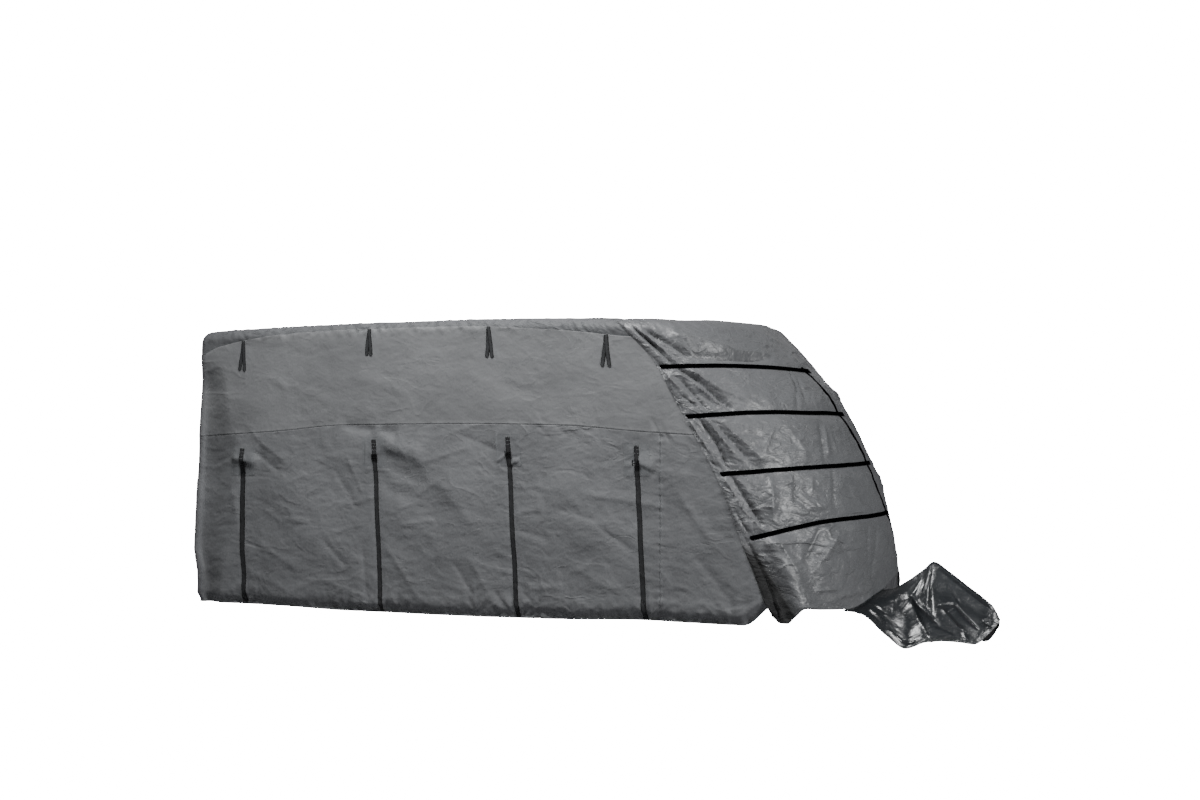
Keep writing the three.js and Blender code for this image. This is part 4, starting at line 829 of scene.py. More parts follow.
def sheet_mesh(name, place, out, flat, material, thickness=CLOTH):
    wide, high = place.shape[:2]
    count = wide * high
    outer = place - MOUNT
    inner = outer - out * (thickness[..., None] if np.ndim(thickness) else thickness)
    points = np.concatenate([outer.reshape(-1, 3), inner.reshape(-1, 3)])
    number = np.arange(count).reshape(wide, high)
    a, b = number[:-1, :-1].ravel(), number[1:, :-1].ravel()
    c, d = number[1:, 1:].ravel(), number[:-1, 1:].ravel()
    faces_out = np.stack([a, b, c, d], 1)
    faces_in = np.stack([a, d, c, b], 1) + count
    border = np.concatenate([number[:, 0], number[-1, 1:], number[-2::-1, -1], number[0, -2:0:-1]])
    after = np.roll(border, -1)
    rim = np.stack([border, border + count, after + count, after], 1)
    faces = np.concatenate([faces_out, faces_in, rim])
    if np.mean(np.sum(normals(outer) * out, -1)) < 0:
        faces = faces[:, ::-1]
    mesh = bpy.data.meshes.new(name)
    mesh.vertices.add(len(points))
    mesh.vertices.foreach_set("co", points.ravel())
    mesh.loops.add(faces.size)
    mesh.loops.foreach_set("vertex_index", faces.ravel())
    mesh.polygons.add(len(faces))
    mesh.polygons.foreach_set("loop_start", np.arange(0, faces.size, 4))
    mesh.update(calc_edges=True)
    layer = mesh.uv_layers.new(name="flat")
    both = np.concatenate([flat.reshape(-1, 2)] * 2)
    layer.data.foreach_set("uv", both[faces.ravel()].ravel())
    mesh.polygons.foreach_set("use_smooth", np.ones(len(faces), bool))
    mesh.set_sharp_from_angle(angle=math.radians(55))
    mesh.materials.append(material)
    piece = bpy.data.objects.new(name, mesh)
    bpy.context.scene.collection.objects.link(piece)
    return piece

def finished(piece, node):
    """Fix a piece to the cover in place of a solid."""
    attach(piece, "root")
    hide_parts(node)
    return piece

# %% [markdown]
# The cloth of such a cover is coated polyester. Two effects serve more than one cloth, so each is a
# shader group: a fine plain weave for close views, and creases in several sizes that were pressed in
# when the cover lay folded in its bag. A group puts out heights and masks, and the material mixes them.

# %% Shader groups
WEAVE_SCALE = 240.0

# Each size of crease: how many to a metre, its turn in degrees, how much it is drawn out, and its weight.
CREASE_SIZES = ((2.2, 28, 1.9, 1.2), (5.5, -35, 1.7, 0.54), (14.0, 60, 1.5, 0.30), (34.0, -20, 1.6, 0.14))

def new_group(name, *labels):
    """A group that reads a place on the cloth and puts out a number for each label."""
    tree = bpy.data.node_groups.new(name, "ShaderNodeTree")
    tree.interface.new_socket("Vector", in_out="INPUT", socket_type="NodeSocketVector")
    for label in labels:
        tree.interface.new_socket(label, in_out="OUTPUT", socket_type="NodeSocketFloat")
    given, result = tree.nodes.new("NodeGroupInput"), tree.nodes.new("NodeGroupOutput")
    return tree, given.outputs["Vector"], result

def math_node(tree, operation, a, b=None, clamp=False):
    """An operation on one or two values, each a socket or a number."""
    node = tree.nodes.new("ShaderNodeMath")
    node.operation = operation
    node.use_clamp = clamp
    for index, value in enumerate((a, b)):
        if value is None:
            continue
        if isinstance(value, (int, float)):
            node.inputs[index].default_value = value
        else:
            tree.links.new(value, node.inputs[index])
    return node.outputs[0]

def arithmetic(tree):
    """Plus, minus and times in this tree, each a function that makes its node."""
    return [partial(math_node, tree, operation) for operation in ("ADD", "SUBTRACT", "MULTIPLY")]

def noise_node(tree, vector, scale, detail, roughness=0.5, distortion=0.0):
    node = tree.nodes.new("ShaderNodeTexNoise")
    node.inputs["Scale"].default_value = scale
    node.inputs["Detail"].default_value = detail
    node.inputs["Roughness"].default_value = roughness
    node.inputs["Distortion"].default_value = distortion
    tree.links.new(vector, node.inputs["Vector"])
    return node.outputs["Fac"]

def mapping_node(tree, vector, scale=(1, 1, 1), turn=0.0):
    node = tree.nodes.new("ShaderNodeMapping")
    node.inputs["Scale"].default_value = scale
    node.inputs["Rotation"].default_value = (0, 0, math.radians(turn))
    tree.links.new(vector, node.inputs["Vector"])
    return node.outputs["Vector"]

def weave_group():
    tree, given, result = new_group("plain_weave", "Height")
    heights = []
    for turn in (0.0, 90.0):
        wave = tree.nodes.new("ShaderNodeTexWave")
        wave.bands_direction = "X"
        wave.inputs["Scale"].default_value = WEAVE_SCALE
        wave.inputs["Distortion"].default_value = 0.6
        wave.inputs["Detail"].default_value = 1.0
        tree.links.new(mapping_node(tree, given, turn=turn), wave.inputs["Vector"])
        heights.append(wave.outputs["Fac"])
    tree.links.new(math_node(tree, "MULTIPLY", *heights), result.inputs["Height"])
    return tree

def crease_group():
    """Soft creases, with thin lines along some of them, where the noise is near its middle value."""
    tree, given, result = new_group("pressed_creases", "Height", "Lines")
    plus, minus, times = arithmetic(tree)
    total, lines = None, None
    for scale, turn, stretch, weight in CREASE_SIZES:
        place = mapping_node(tree, given, (scale, scale * stretch, scale), turn)
        value = noise_node(tree, place, 1.0, 2.0, 0.55, 0.8)
        away = math_node(tree, "ABSOLUTE", minus(value, 0.5))
        line = minus(1.0, times(away, 16.0), clamp=True)
        in_patches = minus(times(noise_node(tree, place, 0.35, 1.0), 4.0), 1.7, clamp=True)
        shown = times(line, in_patches)
        part = times(plus(times(value, 0.9), times(shown, 0.22)), weight)
        total = part if total is None else plus(total, part)
        lines = shown if lines is None else math_node(tree, "MAXIMUM", lines, shown)
    tree.links.new(total, result.inputs["Height"])
    tree.links.new(lines, result.inputs["Lines"])
    return tree

WEAVE, CREASES = weave_group(), crease_group()
print("shader groups:", WEAVE.name, CREASES.name)

# %% [markdown]
# One function makes all cloths, because they differ only in tone, gloss and how sharply they crease.
# The pattern follows the flat cloth through the UV map. A broad noise on it stands for dust and
# weather, and painted shade darkens the tone a little towards the hem. Painted shade also makes the
# lower corner of the front dark, and there the cloth is duller.

# %% Materials
# Ribs of the webbing to a metre, and how wide its dark selvedge is.
RIBS, SELVEDGE = 330.0, 0.006

# What dust, painted shade near the hem and creases do to a cloth's colour, and where that shade starts.
WORN_TONE, DUSTY_TONE, HEM_SHADE_TONE, HEM_SHADE_SHARE, LINE_SHARE = 0.90, 1.12, 0.62, 0.85, 0.16
HEM_SHADE_TOP = -1.55

# The gloss that all cloths share.
CLOTH_SHINE, SHEEN, SHEEN_ROUGHNESS, COAT_ROUGHNESS = 0.42, 0.08, 0.4, 0.28

# Painted shade darkens the lower corner of the front beside its seam, below the line between these two
# places in x and z, and fades over the last length.
PAINTED_SHADE_CORNER = ((2.395, -1.68), (2.77, -2.24), 0.06)
PAINTED_SHADE_ABOVE, PAINTED_SHADE_TOP_FADE, PAINTED_SHADE_TONE, PAINTED_SHADE_ROUGHNESS = 0.05, 0.15, 0.08, 0.95

def times_colour(factor, colour):
    return tuple(factor * c for c in colour)

def group_node(tree, group, vector):
    node = tree.nodes.new("ShaderNodeGroup")
    node.node_tree = group
    tree.links.new(vector, node.inputs["Vector"])
    return node

def bump_node(tree, height, distance, strength, before=None):
    node = tree.nodes.new("ShaderNodeBump")
    node.inputs["Distance"].default_value = distance
    node.inputs["Strength"].default_value = strength
    tree.links.new(height, node.inputs["Height"])
    if before:
        tree.links.new(before, node.inputs["Normal"])
    return node.outputs["Normal"]

# The mask of the painted shade on the front's lower corner beside its seam.
def painted_shade_mask(tree, split, start, end, reach):
    """1 below and behind the line from start to end, in x and z, and 0 beyond it."""
    plus, minus, times = arithmetic(tree)
    run_x, run_z = end[0] - start[0], end[1] - start[1]
    length = math.hypot(run_x, run_z)
    ahead = times(minus(split.outputs["X"], start[0]), -run_z / length)
    above = times(minus(split.outputs["Z"], start[1]), run_x / length)
    away = math_node(tree, "DIVIDE", plus(ahead, above), reach)
    under = minus(start[1] + PAINTED_SHADE_ABOVE, split.outputs["Z"])
    under = math_node(tree, "DIVIDE", under, PAINTED_SHADE_TOP_FADE, clamp=True)
    return times(minus(0.5, away, clamp=True), under)

def cloth_material(name, colour, roughness, crease_depth, gloss=0.0, coat=0.0, corner_shade=None):
    material = bpy.data.materials.new(name)
    material.use_nodes = True
    tree = material.node_tree
    shader = tree.nodes["Principled BSDF"]
    plus, minus, times = arithmetic(tree)
    place = tree.nodes.new("ShaderNodeTexCoord")
    flat, solid = place.outputs["UV"], place.outputs["Object"]
    creases = group_node(tree, CREASES, flat)
    weave = group_node(tree, WEAVE, flat)
    dust = minus(times(noise_node(tree, flat, 1.6, 5.0, 0.6), 2.6), 0.8, clamp=True)
    lighter = tuple(min(DUSTY_TONE * c + 0.004, 1.0) for c in colour)
    tone = colour_mix(tree, dust, times_colour(WORN_TONE, colour), lighter)
    split = tree.nodes.new("ShaderNodeSeparateXYZ")
    tree.links.new(solid, split.inputs[0])
    # Painted shade: the tone darkens in patches below a height, towards the hem.
    low = times(minus(HEM_SHADE_TOP, split.outputs["Z"]), 1.4, clamp=True)
    hem_shade = times(times(low, noise_node(tree, flat, 6.0, 4.0, 0.65)), HEM_SHADE_SHARE)
    tone = colour_mix(tree, hem_shade, tone, times_colour(HEM_SHADE_TONE, colour))
    tone = colour_mix(tree, times(creases.outputs["Lines"], LINE_SHARE), tone, lighter)
    rough = plus(times(dust, 0.10), roughness - 0.05)
    shader.inputs["Specular IOR Level"].default_value = CLOTH_SHINE + gloss
    shader.inputs["Sheen Weight"].default_value = SHEEN
    shader.inputs["Sheen Roughness"].default_value = SHEEN_ROUGHNESS
    shader.inputs["Coat Weight"].default_value = coat
    shader.inputs["Coat Roughness"].default_value = COAT_ROUGHNESS
    # Painted shade darkens the front's lower corner; there the cloth is also rougher and loses its coat.
    if corner_shade:
        shade_share = painted_shade_mask(tree, split, *corner_shade)
        tone = colour_mix(tree, shade_share, tone, times_colour(PAINTED_SHADE_TONE, colour))
        rough = math_node(tree, "MAXIMUM", rough, times(shade_share, PAINTED_SHADE_ROUGHNESS))
        tree.links.new(times(minus(1.0, shade_share), coat), shader.inputs["Coat Weight"])
    tree.links.new(tone, shader.inputs["Base Color"])
    tree.links.new(rough, shader.inputs["Roughness"])
    fine = bump_node(tree, weave.outputs["Height"], 0.0002, 0.35)
    normal = bump_node(tree, creases.outputs["Height"], crease_depth, 0.9, fine)
    tree.links.new(normal, shader.inputs["Normal"])
    return material

def webbing_material(name, colour, half=None, shine=0.1):
    """Ribbed webbing. Half is where its selvedges lie, in metres from its middle."""
    material = plain_material(name, colour, 0.78)
    tree = material.node_tree
    shader = tree.nodes["Principled BSDF"]
    flat = tree.nodes.new("ShaderNodeTexCoord").outputs["UV"]
    wave = tree.nodes.new("ShaderNodeTexWave")
    wave.bands_direction = "Y"
    wave.inputs["Scale"].default_value = RIBS / 2
    wave.inputs["Distortion"].default_value = 0.4
    tree.links.new(flat, wave.inputs["Vector"])
    uneven = noise_node(tree, flat, 30.0, 3.0, 0.6)
    tone = colour_mix(tree, uneven, times_colour(0.75, colour), times_colour(1.5, colour))
    if half:
        _, minus, times = arithmetic(tree)
        split = tree.nodes.new("ShaderNodeSeparateXYZ")
        tree.links.new(flat, split.inputs[0])
        beside = minus(math_node(tree, "ABSOLUTE", split.outputs["X"]), half - SELVEDGE)
        tone = colour_mix(tree, times(beside, 400.0, clamp=True), tone, times_colour(0.12, colour))
    tree.links.new(tone, shader.inputs["Base Color"])
    shader.inputs["Specular IOR Level"].default_value = shine
    tree.links.new(bump_node(tree, wave.outputs["Fac"], 0.0006, 0.6), shader.inputs["Normal"])
    return material

def plastic_material(name, colour):
    material = plain_material(name, colour, 0.38)
    tree = material.node_tree
    shader = tree.nodes["Principled BSDF"]
    solid = tree.nodes.new("ShaderNodeTexCoord").outputs["Object"]
    grain = noise_node(tree, solid, 900.0, 3.0, 0.6)
    tree.links.new(bump_node(tree, grain, 0.0001, 0.5), shader.inputs["Normal"])
    plus, _, times = arithmetic(tree)
    rough = plus(times(noise_node(tree, solid, 60.0, 4.0, 0.7), 0.25), 0.26)
    tree.links.new(rough, shader.inputs["Roughness"])
    return material

cloth_side = cloth_material("side_cloth", (0.139, 0.143, 0.149), 0.66, 0.012)
# The upper panels' cloth is a lighter copy of the side's: painted light for the brighter upper wall.
upper_cloth_painted_lighter = cloth_material("upper_cloth", (0.153, 0.157, 0.162), 0.68, 0.0080)
# The roof's cloth is a darker copy of the side's: painted shade against the light falling on it from above.
roof_cloth_painted_darker = cloth_material("roof_cloth", (0.088, 0.091, 0.096), 0.66, 0.013)
# The front's cloth carries the painted shade of its lower corner.
cloth_front = cloth_material(
    "front_cloth", (0.102, 0.105, 0.110), 0.44, 0.036, gloss=0.15, coat=0.12, corner_shade=PAINTED_SHADE_CORNER)
cloth_hitch = cloth_material("hitch_cloth", (0.012, 0.0145, 0.017), 0.30, 0.008, gloss=0.25, coat=0.35)
black_webbing = webbing_material("black_webbing", (0.0006, 0.0006, 0.0008), shine=0.0)
grey_webbing = webbing_material("grey_webbing", (0.020, 0.0205, 0.022), 0.020, 0.25)
tie_webbing = webbing_material("tie_webbing", (0.027, 0.028, 0.030), 0.016, 0.25)
black_plastic = plastic_material("black_plastic", (0.005, 0.005, 0.006))
cloth_patch = cloth_material("patch_cloth", (0.128, 0.133, 0.139), 0.66, 0.008)
thread = plain_material("thread", (0.13, 0.135, 0.14), 0.6)
pale_thread = plain_material("pale_thread", (0.26, 0.27, 0.28), 0.6)
print("materials:", [m.name for m in bpy.data.materials])

# %% [markdown]
# Each side is cut in three: a lower rear and a lower front panel that meet in the upright seam, and an
# upper panel above the mid seam. The near side is what one sees, so its grid is the finest.

# %% Side panels
SEAM_CLEAR = 0.00025
panels, grids = {}, {}

def drawn_back(place):
    """The grid with its border a hair inside the seam, so that two panels never touch."""
    place = place.copy()
    place[0] += SEAM_CLEAR * unit(place[1] - place[0])
    place[-1] += SEAM_CLEAR * unit(place[-2] - place[-1])
    place[:, 0] += SEAM_CLEAR * unit(place[:, 1] - place[:, 0])
    place[:, -1] += SEAM_CLEAR * unit(place[:, -2] - place[:, -1])
    return place

# A seam allowance steps back by a sheet and a bit, and runs on behind the neighbour, so no light falls
# through the seam.
TUCK, TUCK_BACK = 0.008, 0.0020

def with_tuck(place, out, flat, beyond, first):
    """A grid with an allowance at its first or last edge. Beyond is where the allowance ends."""
    edge, run = (0, -1) if first else (-1, 1)
    step = np.array((run, 0.0))
    new_place = np.array([place[edge], beyond]) - TUCK_BACK * out[edge]
    new_out = np.array([out[edge], out[edge]])
    new_flat = np.array([flat[edge] + TUCK_BACK * step, flat[edge] + (TUCK_BACK + TUCK) * step])
    pairs = ((place, new_place), (out, new_out), (flat, new_flat))
    return [np.concatenate([new[::-1], old] if first else [old, new]) for old, new in pairs]

def side_panel(name, side, columns, rows):
    node, sign = f"{side}_{name}", SIDES[side]
    place, out, flat = wall_grid(sign, columns, rows)
    sewn_up = drawn_back(place), out, flat
    if name == "lower_front":
        beyond, _, _ = wall_grid(sign, np.array((2 - TUCK / REAR_LENGTH,)), rows)
        sewn_up = with_tuck(*sewn_up, beyond[0], True)
    piece = sheet_mesh(f"{node}_cloth", *sewn_up, upper_cloth_painted_lighter if name == "upper" else cloth_side)
    panels[node] = finished(piece, node)
    grids[node] = place

def lower_panels(side, cell):
    corner = steps(CORNER_ARC, cell, finer_end=False)
    behind = 1 + steps(REAR_LENGTH, cell, finer_start=False)
    rows = steps(LOWER_HEIGHT, cell)
    side_panel("lower_rear", side, joined(corner, behind), rows)
    side_panel("lower_front", side, 2 + steps(LOWER_AHEAD, cell), rows)

def upper_panel(side, cell):
    corner = steps(CORNER_ARC, cell, finer_end=False)
    behind = 1 + steps(REAR_LENGTH, cell, finer_start=False, finer_end=False)
    ahead = 2 + steps(UPPER_AHEAD, cell, finer_start=False)
    side_panel("upper", side, joined(corner, behind, ahead), 1 + steps(UPPER_HEIGHT, cell))

for side, cell in (("near", NEAR_CELL), ("far", FAR_CELL)):
    lower_panels(side, cell)
    upper_panel(side, cell * UPPER_COARSER)
print("side panels:", {name: len(piece.data.polygons) for name, piece in panels.items()})

# %% [markdown]
# The rear wall goes round both rear corners to meet the sides, and the roof panel wraps over the rounded
# edge on three sides. At the corners their relief is that of the side they meet.

# %% Rear wall and roof
SHARED_REACH = 0.3
ROOF_RINGS = 12

def corner_relief(turn, base_y, z):
    """The relief of the rear wall, which becomes that of the sides towards the two corners."""
    near_arc = EDGE_RADIUS * (np.pi / 2 - turn)
    from_near, from_far = base_y + INNER, INNER - base_y
    near_side = side_relief(-1, EDGE_RADIUS - near_arc - from_near, z)
    far_side = side_relief(1, EDGE_RADIUS - near_arc - from_far, z)
    near_share, far_share = 1 - fade(from_near / SHARED_REACH), 1 - fade(from_far / SHARED_REACH)
    own = rear_relief(base_y, z) * (1 - near_share) * (1 - far_share)
    return near_side * near_share + far_side * far_share + own

def rear_wall():
    corner = steps(CORNER_ARC, FAR_CELL, finer_end=False)
    between = steps(2 * INNER, FAR_CELL, False, False)[1:-1]
    round_corner = 45 - 45 * np.concatenate([[-TUCK / CORNER_ARC], corner])
    at_corner = np.full(len(round_corner), INNER)
    turn = np.radians(np.concatenate([round_corner, np.zeros(len(between)), round_corner[::-1]]))
    base_y = np.concatenate([-at_corner, mix(-INNER, INNER, between), at_corner])
    sign = np.where(base_y < 0, -1, 1)
    lower, upper = steps(LOWER_HEIGHT, FAR_CELL, True, False), steps(REAR_UPPER_HEIGHT, FAR_CELL, False, True)
    rows = joined(lower, 1 + upper)
    t, r = np.meshgrid(turn, rows, indexing="ij")
    y, s = base_y[:, None] + 0 * r, sign[:, None] + 0 * r
    hem, mid, edge, roof = (read(EDGE_RADIUS) for read in (hem_z, mid_z, edge_z, roof_z))
    z = np.where(r <= 1, mix(hem, mid, np.clip(r, 0, 1)), mix(mid, edge, np.clip(r - 1, 0, 1)))
    down = down_to(roof, z)
    place, out = skin(EDGE_RADIUS, y, -np.cos(t), s * np.sin(t), roof, down)
    relief = corner_relief(t, y, z) * below_edge(down)
    place = place + out * relief[..., None]
    place[..., 0] += rear_lean(EDGE_RADIUS, place[..., 2])
    flat = np.stack([y + s * EDGE_RADIUS * t, z], -1)
    near_end, place, far_end = place[0], place[1:-1], place[-1]
    sewn_up = with_tuck(drawn_back(place), out[1:-1], flat[1:-1], near_end, True)
    piece = sheet_mesh("rear_cloth", *with_tuck(*sewn_up, far_end, False), cloth_side)
    panels["rear"] = finished(piece, "rear")
    grids["rear"] = place

def rear_place(y, z):
    """Places on the finished rear wall between its corners, and the way out of them."""
    y, z = np.broadcast_arrays(np.asarray(y, float), np.asarray(z, float))
    place = np.stack([rear_lean(EDGE_RADIUS, z) - corner_relief(0.0, y, z), y, z], -1)
    return place, np.broadcast_to((-1.0, 0.0, 0.0), place.shape)

def roof_ahead(across):
    """The roof ahead of its rear corners, from the near edge seam over the crown to the far one."""
    behind = 1 + steps(REAR_LENGTH, ROOF_CELL, False, False)
    columns = joined(behind, 2 + steps(UPPER_AHEAD, ROOF_CELL, False, True))
    rows = 2 + np.linspace(0, 1, ROOF_RINGS + 1)
    near_edge, far_edge = (wall_grid(sign, columns, rows)[0] for sign in (-1, 1))
    inner = mix(near_edge[:, -1:], far_edge[:, -1:], across[1:-1][None, :, None])
    from_rear = fade(np.linalg.norm(inner[..., :2] - inner[:1, :, :2], axis=-1) / 0.15)
    from_front = fade(np.linalg.norm(inner[..., :2] - inner[-1:, :, :2], axis=-1) / 0.10)
    from_side = fade((INNER - np.abs(inner[..., 1])) / 0.1)
    sag = uneven_cloth(inner[..., 0] + ROOF_NOISE, inner[..., 1], 0.9) * from_front * from_side
    inner[..., 2] += (crown_at(inner[..., 1]) + sag) * from_rear
    return np.concatenate([near_edge, inner, far_edge[:, ::-1]], 1)

def roof_rear(across):
    """The rounded edge above the rear wall. Its rings run into those of the sides at both corners."""
    last = len(across) - 1 + 2 * ROOF_RINGS
    i, j = np.meshgrid(np.arange(ROOF_RINGS), np.arange(last + 1), indexing="ij")
    from_end = np.minimum(j, last - j)
    ring = np.minimum(i, from_end)
    left = ROOF_RINGS - ring
    sideways = np.where(from_end < i, (i - ring) / left, 0)
    rearward = np.minimum((from_end - ring) / left, 1)
    turn = np.radians(45 + 45 * sideways - 45 * rearward)
    sign = np.where(j * 2 < last, -1, 1)
    whole_across = np.concatenate([np.zeros(ROOF_RINGS), across, np.ones(ROOF_RINGS)])
    base_y = mix(-INNER, INNER, whole_across)[j]
    roof, edge = roof_z(EDGE_RADIUS), edge_z(EDGE_RADIUS)
    down = down_to(roof, edge) * (1 - ring / ROOF_RINGS)
    place, out = skin(EDGE_RADIUS, base_y, -np.cos(turn), sign * np.sin(turn), roof, down)
    relief = corner_relief(turn, base_y, place[..., 2]) * below_edge(down)
    place = place + out * relief[..., None]
    place[..., 0] += rear_lean(EDGE_RADIUS, place[..., 2])
    return place

def roof_panel():
    across = steps(2 * INNER, ACROSS_COARSER * ROOF_CELL, False, False)
    place = np.concatenate([roof_rear(across), roof_ahead(across)], 0)
    out, flat = normals_up(place), flat_from_lengths(place)
    piece = sheet_mesh("roof_cloth", drawn_back(place), out, flat, roof_cloth_painted_darker)
    panels["roof"] = finished(piece, "roof")
    return place

rear_wall()
roof_place = roof_panel()
print("rear and roof:", [len(panels[name].data.polygons) for name in ("rear", "roof")])

# %% [markdown]
# The front panel is one piece of cloth from its hem over the shoulder to the roof seam. Its rings are
# half ellipses between the two front seams and the nose. Its points are made on the smooth form first.
# Then its sides and its top are moved onto the seams of its neighbours, and the shift fades out over
# about a hand's length.

# %% Front panel
FRONT_TURNS = mix(-90, 90, steps(FRONT_ROUND, FRONT_CELL))
FRONT_OVERLAP, SIDE_FADE, TOP_FADE = 0.0022, 0.14, 0.20
TRACK_POINTS, SHOULDER_POINTS = 160, 30

def front_ring(turn, z):
    """Places on the smooth form of the front."""
    a = np.radians(turn)
    over = np.maximum(0, z - (FRONT_TOP - EDGE_RADIUS))
    half = INNER + np.sqrt(np.maximum(EDGE_RADIUS ** 2 - over ** 2, 0))
    y = half * np.sin(a)
    lift = crown_at(y * (INNER / half)) * fade((z - 1.7) / (FRONT_TOP - 1.7))
    x = seam_x(z) + (nose_x(z) - seam_x(z)) * np.cos(a)
    return np.stack(np.broadcast_arrays(x, y, z + lift), -1)

def front_out(turn, z):
    sideways = front_ring(turn + 0.5, z) - front_ring(turn - 0.5, z)
    up = front_ring(turn, z + 0.005) - front_ring(turn, z - 0.005)
    return unit(np.cross(sideways, up))

def front_place(turn, z):
    turn, z = np.broadcast_arrays(np.asarray(turn, float), np.asarray(z, float))
    out = front_out(turn, z)
    return front_ring(turn, z) + out * front_relief(turn, z)[..., None], out

def at_lengths(line, run, lengths):
    """The places on a line at these lengths of its run."""
    return np.stack([np.interp(lengths, run, line[:, k]) for k in range(3)], -1)

def resampled(line, shares):
    run = run_along(line)
    return at_lengths(line, run, shares * run[-1])

def front_smooth(turns, shares):
    """Places on the smooth form and their heights, which run on as lengths over the shoulder."""
    place, height = [], []
    for turn, hem in zip(turns, front_hem_z(HALF * np.sin(np.radians(turns)))):
        rising = np.linspace(hem, FRONT_TOP, TRACK_POINTS)
        track = front_ring(turn, rising)
        seam_end = np.array((SEAM_TOP, track[-1, 1], roof_z(SEAM_TOP) + crown_at(track[-1, 1])))
        shoulder = mix(track[-1], seam_end, np.linspace(0, 1, SHOULDER_POINTS)[1:, None])
        whole = np.concatenate([track, shoulder])
        run = run_along(whole)
        place.append(at_lengths(whole, run, shares * run[-1]))
        heights = np.concatenate([rising, FRONT_TOP + run[TRACK_POINTS:] - run[TRACK_POINTS - 1]])
        height.append(np.interp(shares * run[-1], run, heights))
    return np.array(place), np.array(height)

def onto_side_seams(place, shares, t):
    """The grid with its sides moved onto the seams, and where the allowances behind them end."""
    beyond = []
    for sign, index in ((-1, 0), (1, -1)):
        seam, _, _ = wall_grid(sign, np.array((3 - TUCK / LOWER_AHEAD, 3.0)), np.linspace(0, 3, 400))
        beyond.append(resampled(seam[0], shares))
        shift = resampled(seam[-1], shares) - place[index]
        away = np.abs(t - FRONT_TURNS[index]) * TURN_LENGTH
        place = place + shift[None] * (1 - fade(away / SIDE_FADE))[..., None]
    return place, beyond

def onto_roof_seam(place, from_top):
    roof_end = roof_place[-1, ROOF_RINGS:-ROOF_RINGS]
    target = np.stack([np.interp(place[:, -1, 1], roof_end[:, 1], roof_end[:, k]) for k in range(3)], -1)
    shift = target - place[:, -1]
    return place + shift[:, None] * (1 - fade(from_top / TOP_FADE))[..., None]

def front_panel():
    shares = steps(FRONT_RISE, FRONT_CELL)
    place, height = front_smooth(FRONT_TURNS, shares)
    out = normals(place)
    t = np.broadcast_to(FRONT_TURNS[:, None], height.shape)
    from_top = (1 - shares)[None, :] * FRONT_RISE
    from_side = (90 - np.abs(t)) * TURN_LENGTH
    relief = front_relief(t, height) * fade(from_top / TOP_FADE) * fade(from_side / 0.030)
    place, beyond = onto_side_seams(place + out * relief[..., None], shares, t)
    place = onto_roof_seam(place, from_top)
    proud = FRONT_OVERLAP * (1 - fade((from_side - 0.012) / 0.006)) * fade(from_side / 0.0015 + 0.4)
    on_edge = (from_side < 0.0012) | (from_top < 0.0012)
    place = place + out * np.where(on_edge, 0.0, proud)[..., None]
    flat = np.stack([t * TURN_LENGTH, height], -1)
    sewn_up = with_tuck(drawn_back(place), out, flat, beyond[0], True)
    piece = sheet_mesh("front_cloth", *with_tuck(*sewn_up, beyond[1], False), cloth_front)
    panels["front"] = finished(piece, "front")
    grids["front"] = place

front_panel()
print("front:", len(panels["front"].data.polygons))

# %% [markdown]
# The hitch cover is a loose piece of a softer, shinier cloth. It is tucked up inside the hem of the
# front panel, peaks over the coupling and falls in long folds that fan out from the peak.

# %% Hitch cover
HITCH_PLACES = np.arange(10) / 9
HITCH_TABLE = {
    "hem_x": (5.478, 5.587, 5.708, 5.838, 5.983, 6.1, 6.205, 6.3, 6.385, 6.43),
    "half": (0.56, 0.47, 0.345, 0.268, 0.224, 0.19, 0.16, 0.126, 0.092, 0.046),
    "hem_z": (0.112, 0.077, -0.068, -0.172, -0.122, -0.112, -0.118, -0.132, -0.066, -0.006),
    "ridge_x": (5.56, 5.64, 5.76, 5.88, 5.964, 6.08, 6.2, 6.33, 6.405, 6.454),
    "ridge_z": (0.226, 0.232, 0.3, 0.385, 0.444, 0.375, 0.29, 0.196, 0.132, 0.044),
}
hitch_line = {name: curve(HITCH_PLACES, values) for name, values in HITCH_TABLE.items()}

